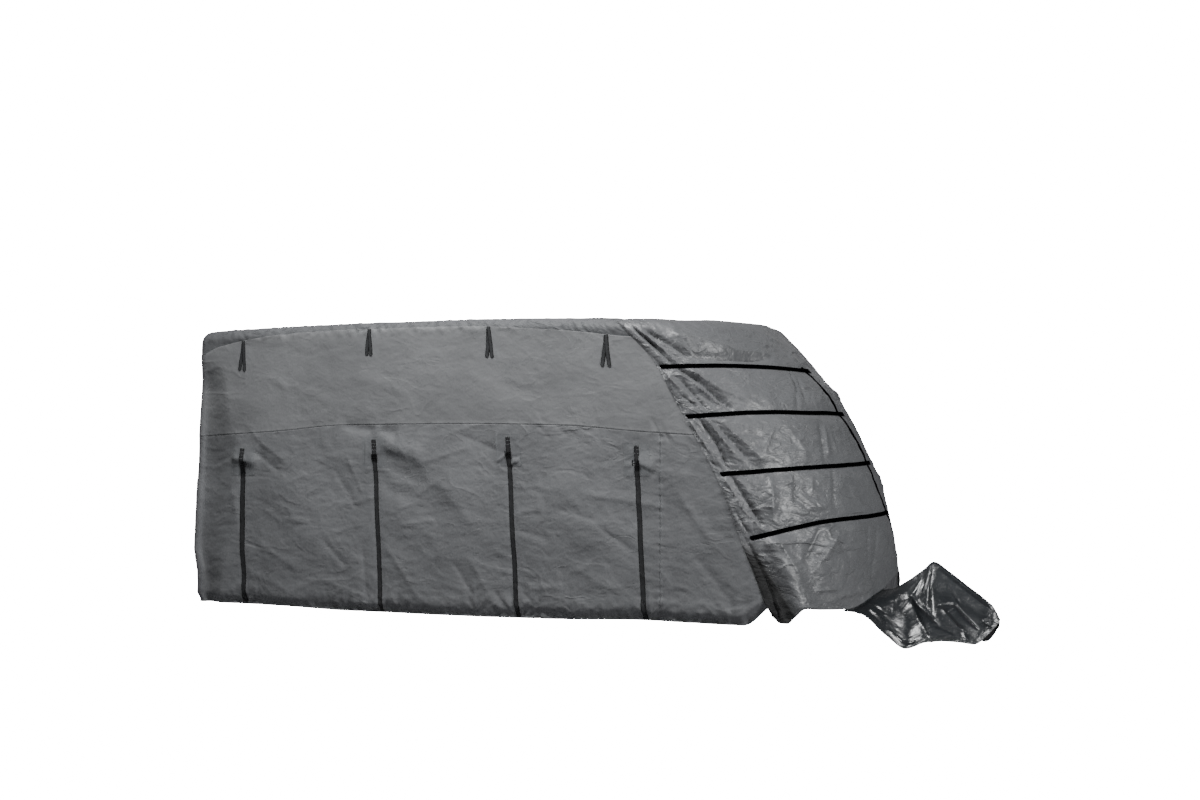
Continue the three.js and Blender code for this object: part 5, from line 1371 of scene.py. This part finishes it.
# Folds of one half of the hitch cover: the place along it and the share of the way down from its
# ridge, at both ends, then widths and depth.
HITCH_LENGTH, HITCH_DROP = 1.05, 0.62
HITCH_GRID_LENGTH, HITCH_GRID_ROUND = 1.30, 1.16
HITCH_FOLDS = [
    (0.422, 0.08, 0.427, 0.50, 0.013, 0.018, -0.010),
    (0.445, 0.28, 0.470, 0.66, 0.012, 0.016, 0.007),
    (0.275, 0.24, 0.503, 0.72, 0.014, 0.017, 0.017),
    (0.290, 0.33, 0.403, 0.70, 0.022, 0.034, -0.017),
    (0.403, 0.70, 0.450, 0.92, 0.030, 0.026, -0.012),
    (0.505, 0.47, 0.613, 0.37, 0.012, 0.015, 0.011),
    (0.613, 0.37, 0.770, 0.60, 0.015, 0.018, 0.014),
    (0.535, 0.50, 0.665, 0.72, 0.020, 0.026, -0.014),
    (0.665, 0.66, 0.720, 0.92, 0.022, 0.022, -0.008),
    (0.482, 0.08, 0.850, 0.13, 0.024, 0.020, -0.010),
    (0.800, 0.40, 0.920, 0.66, 0.014, 0.012, 0.007),
    (0.840, 0.55, 0.800, 0.95, 0.014, 0.014, -0.007),
    (0.233, 0.88, 0.393, 0.92, 0.011, 0.012, 0.009),
    (0.098, 0.08, 0.228, 1.00, 0.007, 0.007, -0.005),
    (0.020, 0.70, 0.190, 0.82, 0.020, 0.024, 0.013),
    (0.040, 0.50, 0.160, 0.62, 0.018, 0.018, -0.010),
    (0.330, 0.12, 0.250, 0.48, 0.020, 0.028, 0.008),
    (0.180, 0.16, 0.210, 0.60, 0.018, 0.024, -0.007),
    (0.480, 0.74, 0.620, 0.84, 0.014, 0.014, 0.006),
    (0.370, 0.16, 0.350, 0.34, 0.010, 0.012, -0.006),
    (0.560, 0.18, 0.640, 0.30, 0.012, 0.014, 0.006),
]
HITCH_ROWS = [(a * HITCH_LENGTH, b * HITCH_DROP, c * HITCH_LENGTH, d * HITCH_DROP, e, f, g)
              for a, b, c, d, e, f, g in HITCH_FOLDS]

def hitch_spread(f):
    """How much of its half width the hitch cover has, a share f of the way down from its ridge."""
    return 0.2 * fade(f * 3) + 0.8 * f ** 1.25

def hitch_smooth(at, g):
    """Places on the smooth form: at runs 0 to 1 along it, and g from -1 at one hem to 1 at the other."""
    f, side = np.abs(g), np.sign(g)
    read = {name: line(at) for name, line in hitch_line.items()}
    sag = np.sin(f * np.pi) * 0.1 * (read["ridge_z"] - read["hem_z"])
    wave = np.sin(at * 23 + side * 1.3)
    crease = 0.010 * wave * fade(at * 4) * f * (1.4 - f)
    x = mix(read["ridge_x"], read["hem_x"], f ** 1.3)
    z = mix(read["ridge_z"], read["hem_z"], f ** 1.1) - sag
    y = side * (read["half"] * hitch_spread(f) + crease)
    return np.stack(np.broadcast_arrays(x, y, z), -1)

def hitch_relief(at, g):
    x, f = at * HITCH_LENGTH, np.abs(g) * HITCH_DROP
    shift = np.where(g < 0, 0.0, 0.035)
    folds = fold_relief(HITCH_ROWS, x + shift * fade(np.abs(g) * 2), f) * fade(np.abs(g) / 0.18)
    uneven = uneven_cloth(x * 1.7 + HITCH_NOISE, g * HITCH_DROP * 1.7, 0.6)
    hem = hem_gathers(x * 1.2 + HITCH_NOISE, (1 - np.abs(g)) * HITCH_DROP, 0.004)
    return (folds + uneven + hem) * fade(at / 0.12)

def tucked_up(g):
    """The rows inside the hem of the front, from the highest down, and one just below it."""
    y = np.sign(g) * HITCH_TABLE["half"][0] * hitch_spread(np.abs(g))
    turn, hem = np.degrees(np.arcsin(y / HALF)), front_hem_z(y)
    places, ways = [], []
    for above in (0.046, 0.034, 0.021, 0.008):
        cloth, way = front_place(turn, hem + above)
        places.append(cloth - way * (CLOTH + 0.0016))
        ways.append(way)
    places.append(places[-1] - way * 0.006 - np.array((0, 0, 0.026)))
    ways.append(way)
    return np.array(places), np.array(ways)

def hitch_cover():
    at = steps(HITCH_GRID_LENGTH, HITCH_CELL, False, True)
    g = mix(-1, 1, steps(HITCH_GRID_ROUND, HITCH_CELL))
    a, b = np.meshgrid(at, g, indexing="ij")
    smooth = hitch_smooth(a, b)
    out = normals_up(smooth)
    inside, inside_out = tucked_up(g)
    place = np.concatenate([inside, smooth + out * hitch_relief(a, b)[..., None]])
    out = np.concatenate([inside_out, out])
    piece = sheet_mesh("hitch_cloth", place, out, flat_from_lengths(place), cloth_hitch)
    panels["hitch_cover"] = finished(piece, "hitch_cover")
    grids["hitch_cover"] = place

hitch_cover()
print("hitch cover:", len(panels["hitch_cover"].data.polygons))

# %% [markdown]
# Webbing and patches lie on the cloth, so they are made on the same surfaces. A ribbon takes a line of
# places, the way across it and its width, asks the surface for the cloth below, and lifts itself off by
# a little more than its own thickness. It is thinner at its two selvedges.

# %% Ribbons that lie on the cloth
RIBBON_ACROSS = np.array((-0.5, -0.46, -0.25, 0.0, 0.25, 0.46, 0.5))
RIBBON_ROUND = np.array((0.55, 0.95, 1.0, 1.0, 1.0, 0.95, 0.55))
LEVEL = (1.0, 0.0)

def ribbon(name, node, surface, line, across, width, thickness, lift, material):
    """A webbing along a line on a surface. Across is one way, or one for each place of the line."""
    across = np.broadcast_to(across, line.shape)
    width = np.broadcast_to(np.asarray(width, float), (len(line),))
    offset = RIBBON_ACROSS[None, :, None] * width[:, None, None] * across[:, None, :]
    spots = line[:, None, :] + offset
    place, out = surface(spots[..., 0], spots[..., 1])
    rise = np.broadcast_to(np.asarray(lift, float).reshape(-1, 1), place.shape[:2])
    depth = thickness * np.broadcast_to(RIBBON_ROUND, place.shape[:2])
    place = place + out * (rise + depth)[..., None]
    run = run_along(place[:, len(RIBBON_ACROSS) // 2])
    flat = np.stack(np.broadcast_arrays(RIBBON_ACROSS * width[:, None], run[:, None]), -1)
    piece = sheet_mesh(name, place, out, flat, material, depth)
    return finished(piece, node)

def square_to(line):
    """The way across a line at each of its places."""
    way = unit(np.gradient(line, axis=0))
    return np.stack([way[:, 1], -way[:, 0]], -1)

# %% [markdown]
# Each side strap starts on a stitched patch below the mid seam, runs through its buckle and down to the
# hem. The patch spreads the pull into the cloth, so it is a square of the same cloth with a sewn border.

# %% Patches and straps
PATCH_WIDTH, PATCH_HEIGHT, PATCH_ABOVE, PATCH_THICKNESS = 0.215, 0.240, 0.020, 0.0011
STRAP_WIDTH, STRAP_THICKNESS = 0.040, 0.0017

def patch(side, sign, strap, number):
    node = f"{side}_patch_{number}"
    top = strap["top_z"] + PATCH_ABOVE
    across = mix(-0.5, 0.5, steps(PATCH_WIDTH, PATCH_CELL))
    a, z = np.meshgrid(across, top - PATCH_HEIGHT * steps(PATCH_HEIGHT, PATCH_CELL), indexing="ij")
    x = strap_x(strap, z) + a * PATCH_WIDTH
    place, out = wall_place(sign, x, z)
    from_edge = np.minimum((0.5 - np.abs(a)) * PATCH_WIDTH, np.minimum(top - z, z - top + PATCH_HEIGHT))
    padded = 0.0009 * fade((from_edge - 0.012) / 0.02) - 0.0005 * np.exp(-((from_edge - 0.009) / 0.002) ** 2)
    uneven = 0.0012 * noise[4](x / 0.05 + number * 7.0, z / 0.05) * fade(from_edge / 0.03)
    lift = 0.0004 + PATCH_THICKNESS + np.maximum(padded + uneven, -0.0003)
    place = place + out * lift[..., None]
    piece = sheet_mesh(f"{node}_cloth", place, out, np.stack([x, z], -1), cloth_patch, PATCH_THICKNESS)
    panels[node] = finished(piece, node)
    grids[node] = place

def on_patch(strap, z):
    """How far a strap is lifted by its patch."""
    top = strap["top_z"] + PATCH_ABOVE
    inside = np.minimum(top - z, z - top + PATCH_HEIGHT)
    return (PATCH_THICKNESS + 0.0022) * fade((inside + 0.006) / 0.008)

def strap_ribbon(side, sign, strap, number):
    bottom = hem_z(strap["hem_x"]) + 0.006
    z = np.linspace(strap["top_z"], bottom, 130)
    line = np.stack([strap_x(strap, z), z], -1)
    loop = 0.0035 * np.exp(-((z - strap["buckle_z"]) / 0.030) ** 2)
    lift = 0.0005 + on_patch(strap, z) + loop
    ribbon(f"{side}_strap_{number}_webbing", f"{side}_strap_{number}", partial(wall_place, sign), line, LEVEL,
           STRAP_WIDTH, STRAP_THICKNESS, lift, grey_webbing)

# A ladder-lock buckle has two rails and four bars across: a lip above, two that the strap is wound round,
# and one below. Each bar: its place along the rails, its height and depth, and how far it stands off.
BUCKLE_WIDTH, BUCKLE_LENGTH, BUCKLE_DEPTH, BUCKLE_RAIL, BUCKLE_ROUNDING = 0.054, 0.042, 0.0062, 0.0052, 0.0009
BUCKLE_BARS = [
    (0.0195, 0.0040, 0.0048, 0.0022), (0.0100, 0.0026, 0.0046, 0.0030),
    (-0.0030, 0.0060, 0.0052, 0.0034), (-0.0185, 0.0048, 0.0044, 0.0022),
]

def buckle_shape():
    """A buckle round the origin, facing -Y."""
    shape = bmesh.new()
    inner = BUCKLE_WIDTH - BUCKLE_RAIL
    boxes = [(hand * inner / 2, 0, BUCKLE_RAIL, BUCKLE_LENGTH, BUCKLE_DEPTH, 0.0) for hand in (-1, 1)]
    boxes += [(0, z, inner, high, deep, lift) for z, high, deep, lift in BUCKLE_BARS]
    for x, z, wide, high, deep, lift in boxes:
        size = Matrix.Diagonal((wide, deep, high, 1))
        bmesh.ops.create_cube(shape, size=1, matrix=Matrix.Translation((x, -(deep / 2 + lift), z)) @ size)
    bmesh.ops.bevel(
        shape, geom=shape.edges[:], offset=BUCKLE_ROUNDING, segments=2, affect="EDGES", profile=0.6)
    return shape

def buckle(side, sign, strap, number):
    node = f"{side}_buckle_{number}"
    mesh = bpy.data.meshes.new(node)
    shape = buckle_shape()
    z = strap["buckle_z"]
    x = float(strap_x(strap, z))
    spread = np.linspace(-0.5, 0.5, 5)
    a, b = np.meshgrid(x + spread * BUCKLE_WIDTH, z + spread * BUCKLE_LENGTH)
    under = wall_place(sign, a, b)[0][..., 1] * sign
    base = float(under.max()) + PATCH_THICKNESS + 0.0032
    lean = (strap["top_x"] - strap["hem_x"]) / strap["top_z"]
    turn = Matrix.Rotation(-sign * math.atan(lean), 4, "Y")
    if sign > 0:
        turn = Matrix.Rotation(math.pi, 4, "Z") @ turn
    place = Matrix.Translation(Vector((x, sign * base, z)) - Vector(MOUNT)) @ turn
    bmesh.ops.transform(shape, matrix=place, verts=shape.verts[:])
    bmesh.ops.recalc_face_normals(shape, faces=shape.faces[:])
    shape.to_mesh(mesh)
    shape.free()
    mesh.materials.append(black_plastic)
    for polygon in mesh.polygons:
        polygon.use_smooth = True
    mesh.set_sharp_from_angle(angle=math.radians(40))
    piece = bpy.data.objects.new(f"{node}_plastic", mesh)
    bpy.context.scene.collection.objects.link(piece)
    finished(piece, node)

for side, sign in SIDES.items():
    for number, strap in enumerate(STRAPS, 1):
        patch(side, sign, strap, number)
        strap_ribbon(side, sign, strap, number)
        buckle(side, sign, strap, number)
print("patches, straps and buckles:", 6 * len(STRAPS))

# %% [markdown]
# Under the edge seam hang pairs of tie tapes, which hold the rolled-up side panel in use. They are loose,
# so their ends stand a few millimetres off the cloth and each is cut round.

# %% Tie tapes
# Each pair: its place along the side, its length, and how far its two ends lie to the left and right.
TIES = [
    (0.478, 0.245, 0.028, 0.018), (1.727, 0.208, 0.026, 0.019),
    (2.822, 0.235, 0.014, 0.035), (3.832, 0.235, 0.028, 0.026),
]
TIE_WIDTH, TIE_THICKNESS = 0.032, 0.0015
TIE_ROUND_FROM, TIE_ROUND = 0.93, 0.072

def tie(side, sign, number, hand, way):
    """One tape. Way is -1 for the left one and 1 for the right one, which lies on top."""
    x0, length, left, right = TIES[number - 1]
    share = np.concatenate([np.linspace(0, 0.92, 24), np.linspace(TIE_ROUND_FROM, 1.0, 8)])
    z = edge_z(x0) - 0.002 - length * share
    sway = 0.003 * np.sin(share * 5.0 + number * 2 + way)
    x = x0 + (right if way > 0 else -left) * share + sway * share
    rounded = np.sqrt(np.maximum(1 - ((share - TIE_ROUND_FROM) / TIE_ROUND) ** 2, 0.02))
    width = TIE_WIDTH * np.where(share < TIE_ROUND_FROM, 1.0, rounded)
    lift = 0.0005 + 0.0025 * share ** 2 + (0.0024 if way > 0 else 0.0)
    node = f"{side}_tie_{number}{hand}"
    ribbon(f"{node}_webbing", node, partial(wall_place, sign), np.stack([x, z], -1), LEVEL, width,
           TIE_THICKNESS, lift, tie_webbing)

for side, sign in SIDES.items():
    for number in range(1, len(TIES) + 1):
        tie(side, sign, number, "a", -1)
        tie(side, sign, number, "b", 1)
print("tie tapes:", 4 * len(TIES))

# %% [markdown]
# Four bands hold the front in, and they end on an upright webbing near the middle. The webbing lies
# under the bands. Down each rear corner runs one more webbing on the rear wall.

# %% Bands and long webbings
BAND_WIDTH, BAND_THICKNESS = 0.031, 0.0018
UPRIGHT_WIDTH, UPRIGHT_THICKNESS, UPRIGHT_TOP, UPRIGHT_BOTTOM = 0.036, 0.0016, 1.872, 0.372
REAR_WEBBING_TOP, REAR_WEBBING_BOTTOM, REAR_WEBBING_IN = 1.72, 0.008, 0.020
FRONT_RISING = np.maximum.accumulate(grids["front"][..., 2], axis=1)

def front_surface(x, z):
    """Places on the finished cloth, between its own grid lines."""
    turn = x / TURN_LENGTH
    column = np.clip(np.interp(turn, FRONT_TURNS, np.arange(len(FRONT_TURNS))), 0, len(FRONT_TURNS) - 1.001)
    rows = np.arange(FRONT_RISING.shape[1])
    place = np.zeros((*turn.shape, 3))
    for spot in np.ndindex(turn.shape):
        low = int(column[spot])
        for k, weight in ((low, 1 - column[spot] + low), (low + 1, column[spot] - low)):
            row = np.interp(z[spot], FRONT_RISING[k], rows)
            below = min(int(row), len(rows) - 2)
            place[spot] += weight * mix(grids["front"][k, below], grids["front"][k, below + 1], row - below)
    return place, front_out(turn, z)

def front_band(number, band):
    turn = mix(band["start"], band["end"], np.linspace(0, 1, 170))
    x = turn * TURN_LENGTH
    z = band["z"](turn) + 0.0025 * noise[3](x / 0.22 + 5 * number, 0.0) * fade((turn - band["start"]) / 6)
    line = np.stack([x, z], -1)
    start = np.clip((turn - band["start"]) / 0.9, 0, 1)
    width = BAND_WIDTH * np.sqrt(np.maximum(1 - (1 - start) ** 2, 0.03))
    over_upright = 0.0024 * fade((turn - webbing_turn(z) + 3.2) / 1.4)
    node = f"front_band_{number}"
    ribbon(f"{node}_webbing", node, front_surface, line, square_to(line), width, BAND_THICKNESS,
           0.0010 + over_upright, black_webbing)

def front_upright():
    z = np.linspace(UPRIGHT_TOP, UPRIGHT_BOTTOM, 150)
    line = np.stack([webbing_turn(z) * TURN_LENGTH, z], -1)
    ribbon("front_upright_webbing", "front_webbing", front_surface, line, square_to(line), UPRIGHT_WIDTH,
           UPRIGHT_THICKNESS, 0.0008, black_webbing)

def rear_corner(side, sign):
    z = np.linspace(REAR_WEBBING_TOP, REAR_WEBBING_BOTTOM, 120)
    line = np.stack([np.full(len(z), sign * (INNER - REAR_WEBBING_IN)), z], -1)
    ribbon(f"{side}_rear_corner_webbing", f"{side}_rear_webbing", rear_place, line, LEVEL, STRAP_WIDTH,
           STRAP_THICKNESS, 0.0006, black_webbing)

for number, band in enumerate(BANDS, 1):
    front_band(number, band)
front_upright()
for side, sign in SIDES.items():
    rear_corner(side, sign)
print("bands and long webbings:", len(BANDS) + 3)

# %% [markdown]
# A sewn line is a row of short threads, so one Geometry Nodes tree makes them all. It takes the edges of a
# mesh as paths, sets points along them one stitch apart, puts a small spindle on each point along the
# path, and makes them real. A row runs about a centimetre inside each hem, seam and patch border, and bar
# tacks hold each strap to its patch above the buckle.

# %% Stitches along the seams
def stitch_tree():
    tree = bpy.data.node_groups.new("stitches", "GeometryNodeTree")
    for label, kind in (("Geometry", "NodeSocketGeometry"), ("Pitch", "NodeSocketFloat"),
                        ("Length", "NodeSocketFloat"), ("Thickness", "NodeSocketFloat"),
                        ("Thread", "NodeSocketMaterial")):
        tree.interface.new_socket(label, in_out="INPUT", socket_type=kind)
    tree.interface.new_socket("Geometry", in_out="OUTPUT", socket_type="NodeSocketGeometry")
    given, result = tree.nodes.new("NodeGroupInput"), tree.nodes.new("NodeGroupOutput")
    path = tree.nodes.new("GeometryNodeMeshToCurve")
    spaced = tree.nodes.new("GeometryNodeResampleCurve")
    spaced.mode = "LENGTH"
    spindle = tree.nodes.new("GeometryNodeMeshUVSphere")
    spindle.inputs["Segments"].default_value = 4
    spindle.inputs["Rings"].default_value = 2
    spindle.inputs["Radius"].default_value = 0.5
    tangent = tree.nodes.new("GeometryNodeInputTangent")
    turned = tree.nodes.new("FunctionNodeAlignRotationToVector")
    turned.axis = "Z"
    size = tree.nodes.new("ShaderNodeCombineXYZ")
    placed = tree.nodes.new("GeometryNodeInstanceOnPoints")
    real = tree.nodes.new("GeometryNodeRealizeInstances")
    dyed = tree.nodes.new("GeometryNodeSetMaterial")
    for start, end in (
        (given.outputs["Geometry"], path.inputs["Mesh"]),
        (path.outputs["Curve"], spaced.inputs["Curve"]),
        (given.outputs["Pitch"], spaced.inputs["Length"]),
        (tangent.outputs[0], turned.inputs["Vector"]),
        (given.outputs["Thickness"], size.inputs["X"]),
        (given.outputs["Thickness"], size.inputs["Y"]),
        (given.outputs["Length"], size.inputs["Z"]),
        (spaced.outputs["Curve"], placed.inputs["Points"]),
        (spindle.outputs["Mesh"], placed.inputs["Instance"]),
        (turned.outputs["Rotation"], placed.inputs["Rotation"]),
        (size.outputs[0], placed.inputs["Scale"]),
        (placed.outputs["Instances"], real.inputs["Geometry"]),
        (real.outputs["Geometry"], dyed.inputs["Geometry"]),
        (given.outputs["Thread"], dyed.inputs["Material"]),
        (dyed.outputs["Geometry"], result.inputs["Geometry"]),
    ):
        tree.links.new(start, end)
    return tree

STITCHES = stitch_tree()
STITCH_SIZES = {"Pitch": 0.0070, "Length": 0.0052, "Thickness": 0.0011}

def sewn(name, node, lines, material):
    """A piece with the stitches of all these lines."""
    points = np.concatenate(lines) - MOUNT
    last = np.cumsum([len(line) for line in lines])
    edges = [(i, i + 1) for i in range(len(points) - 1) if i + 1 not in last]
    mesh = bpy.data.meshes.new(name)
    mesh.from_pydata(points.tolist(), edges, [])
    piece = bpy.data.objects.new(name, mesh)
    bpy.context.scene.collection.objects.link(piece)
    modifier = piece.modifiers.new("stitches", "NODES")
    modifier.node_group = STITCHES
    values = {**STITCH_SIZES, "Thread": material}
    for item in STITCHES.interface.items_tree:
        if item.in_out == "INPUT" and item.name in values:
            modifier[item.identifier] = values[item.name]
    graph = bpy.context.evaluated_depsgraph_get()
    real = bpy.data.meshes.new_from_object(piece.evaluated_get(graph))
    piece.modifiers.remove(modifier)
    piece.data = real
    return finished(piece, node)

# The fourth row or column of a grid lies nine millimetres inside the cloth's edge.
INSIDE = BESIDE_SEAM.index(0.009)
SEWN_EDGES = {
    "lower_rear": ("low", "high"), "lower_front": ("low", "high", "first", "last"), "upper": ("low", "high"),
    "rear": ("low",), "front": ("low", "first", "last"), "hitch_cover": ("low", "high", "last"),
    "patch": ("low", "high", "first", "last"),
}

# Bar tacks across a strap, on the part of it that is sewn to the patch, this far below its top. Each is
# three rows of stitches, a little shorter than the strap is wide.
TACKS = (0.004, 0.030, 0.056, 0.082)
TACK_ROWS, TACK_HALF = (-0.0022, 0.0, 0.0022), 0.44

def edge_line(grid, edge):
    return {
        "low": grid[INSIDE:-INSIDE, INSIDE],
        "high": grid[INSIDE:-INSIDE, -1 - INSIDE],
        "first": grid[INSIDE, INSIDE:-INSIDE],
        "last": grid[-1 - INSIDE, INSIDE:-INSIDE],
    }[edge]

def sewn_edges(name, grid):
    kind = "patch" if "_patch_" in name else name.replace("near_", "").replace("far_", "")
    lines = [edge_line(grid, edge) for edge in SEWN_EDGES[kind]]
    return sewn(f"{name}_stitches", name, lines, pale_thread if kind == "patch" else thread)

def bar_tacks(side, sign, strap, number):
    lines = []
    for z in [strap["top_z"] - down + row for down in TACKS for row in TACK_ROWS]:
        x = strap_x(strap, z) + np.linspace(-TACK_HALF, TACK_HALF, 8) * STRAP_WIDTH
        place, out = wall_place(sign, x, z)
        lines.append(place + out * (0.0006 + on_patch(strap, z) + STRAP_THICKNESS))
    sewn(f"{side}_strap_{number}_tacks", f"{side}_strap_{number}", lines, pale_thread)

stitches = {name: [sewn_edges(name, grid)] for name, grid in grids.items()}
for side, sign in SIDES.items():
    for number, strap in enumerate(STRAPS, 1):
        bar_tacks(side, sign, strap, number)
print("stitches:", sum(len(rows[0].data.polygons) for rows in stitches.values()), "faces")

# %% [markdown]
# Last, each cloth is declared as a sheet with the size it was cut to, so that its area can be compared
# with the finished mesh. A panel that isn't a rectangle has its flat area too.

# The rectangle that each panel is cut from, and the area of the panel itself.
SIDE_SHEETS = {
    "lower_rear": (4.42, 1.47, 5.95), "lower_front": (0.86, 1.37, 0.82), "upper": (4.70, 0.79, 3.10),
}
SHEETS = {f"{side}_{name}": size for side in SIDES for name, size in SIDE_SHEETS.items()}
SHEETS |= {
    "rear": (2.12, 2.04, 4.20), "roof": (4.10, 2.34, 9.00), "front": (2.80, 2.95, 7.30),
    "hitch_cover": (1.30, 1.30, 1.05),
}
for side in SIDES:
    for number in range(1, len(STRAPS) + 1):
        name = f"{side}_patch_{number}"
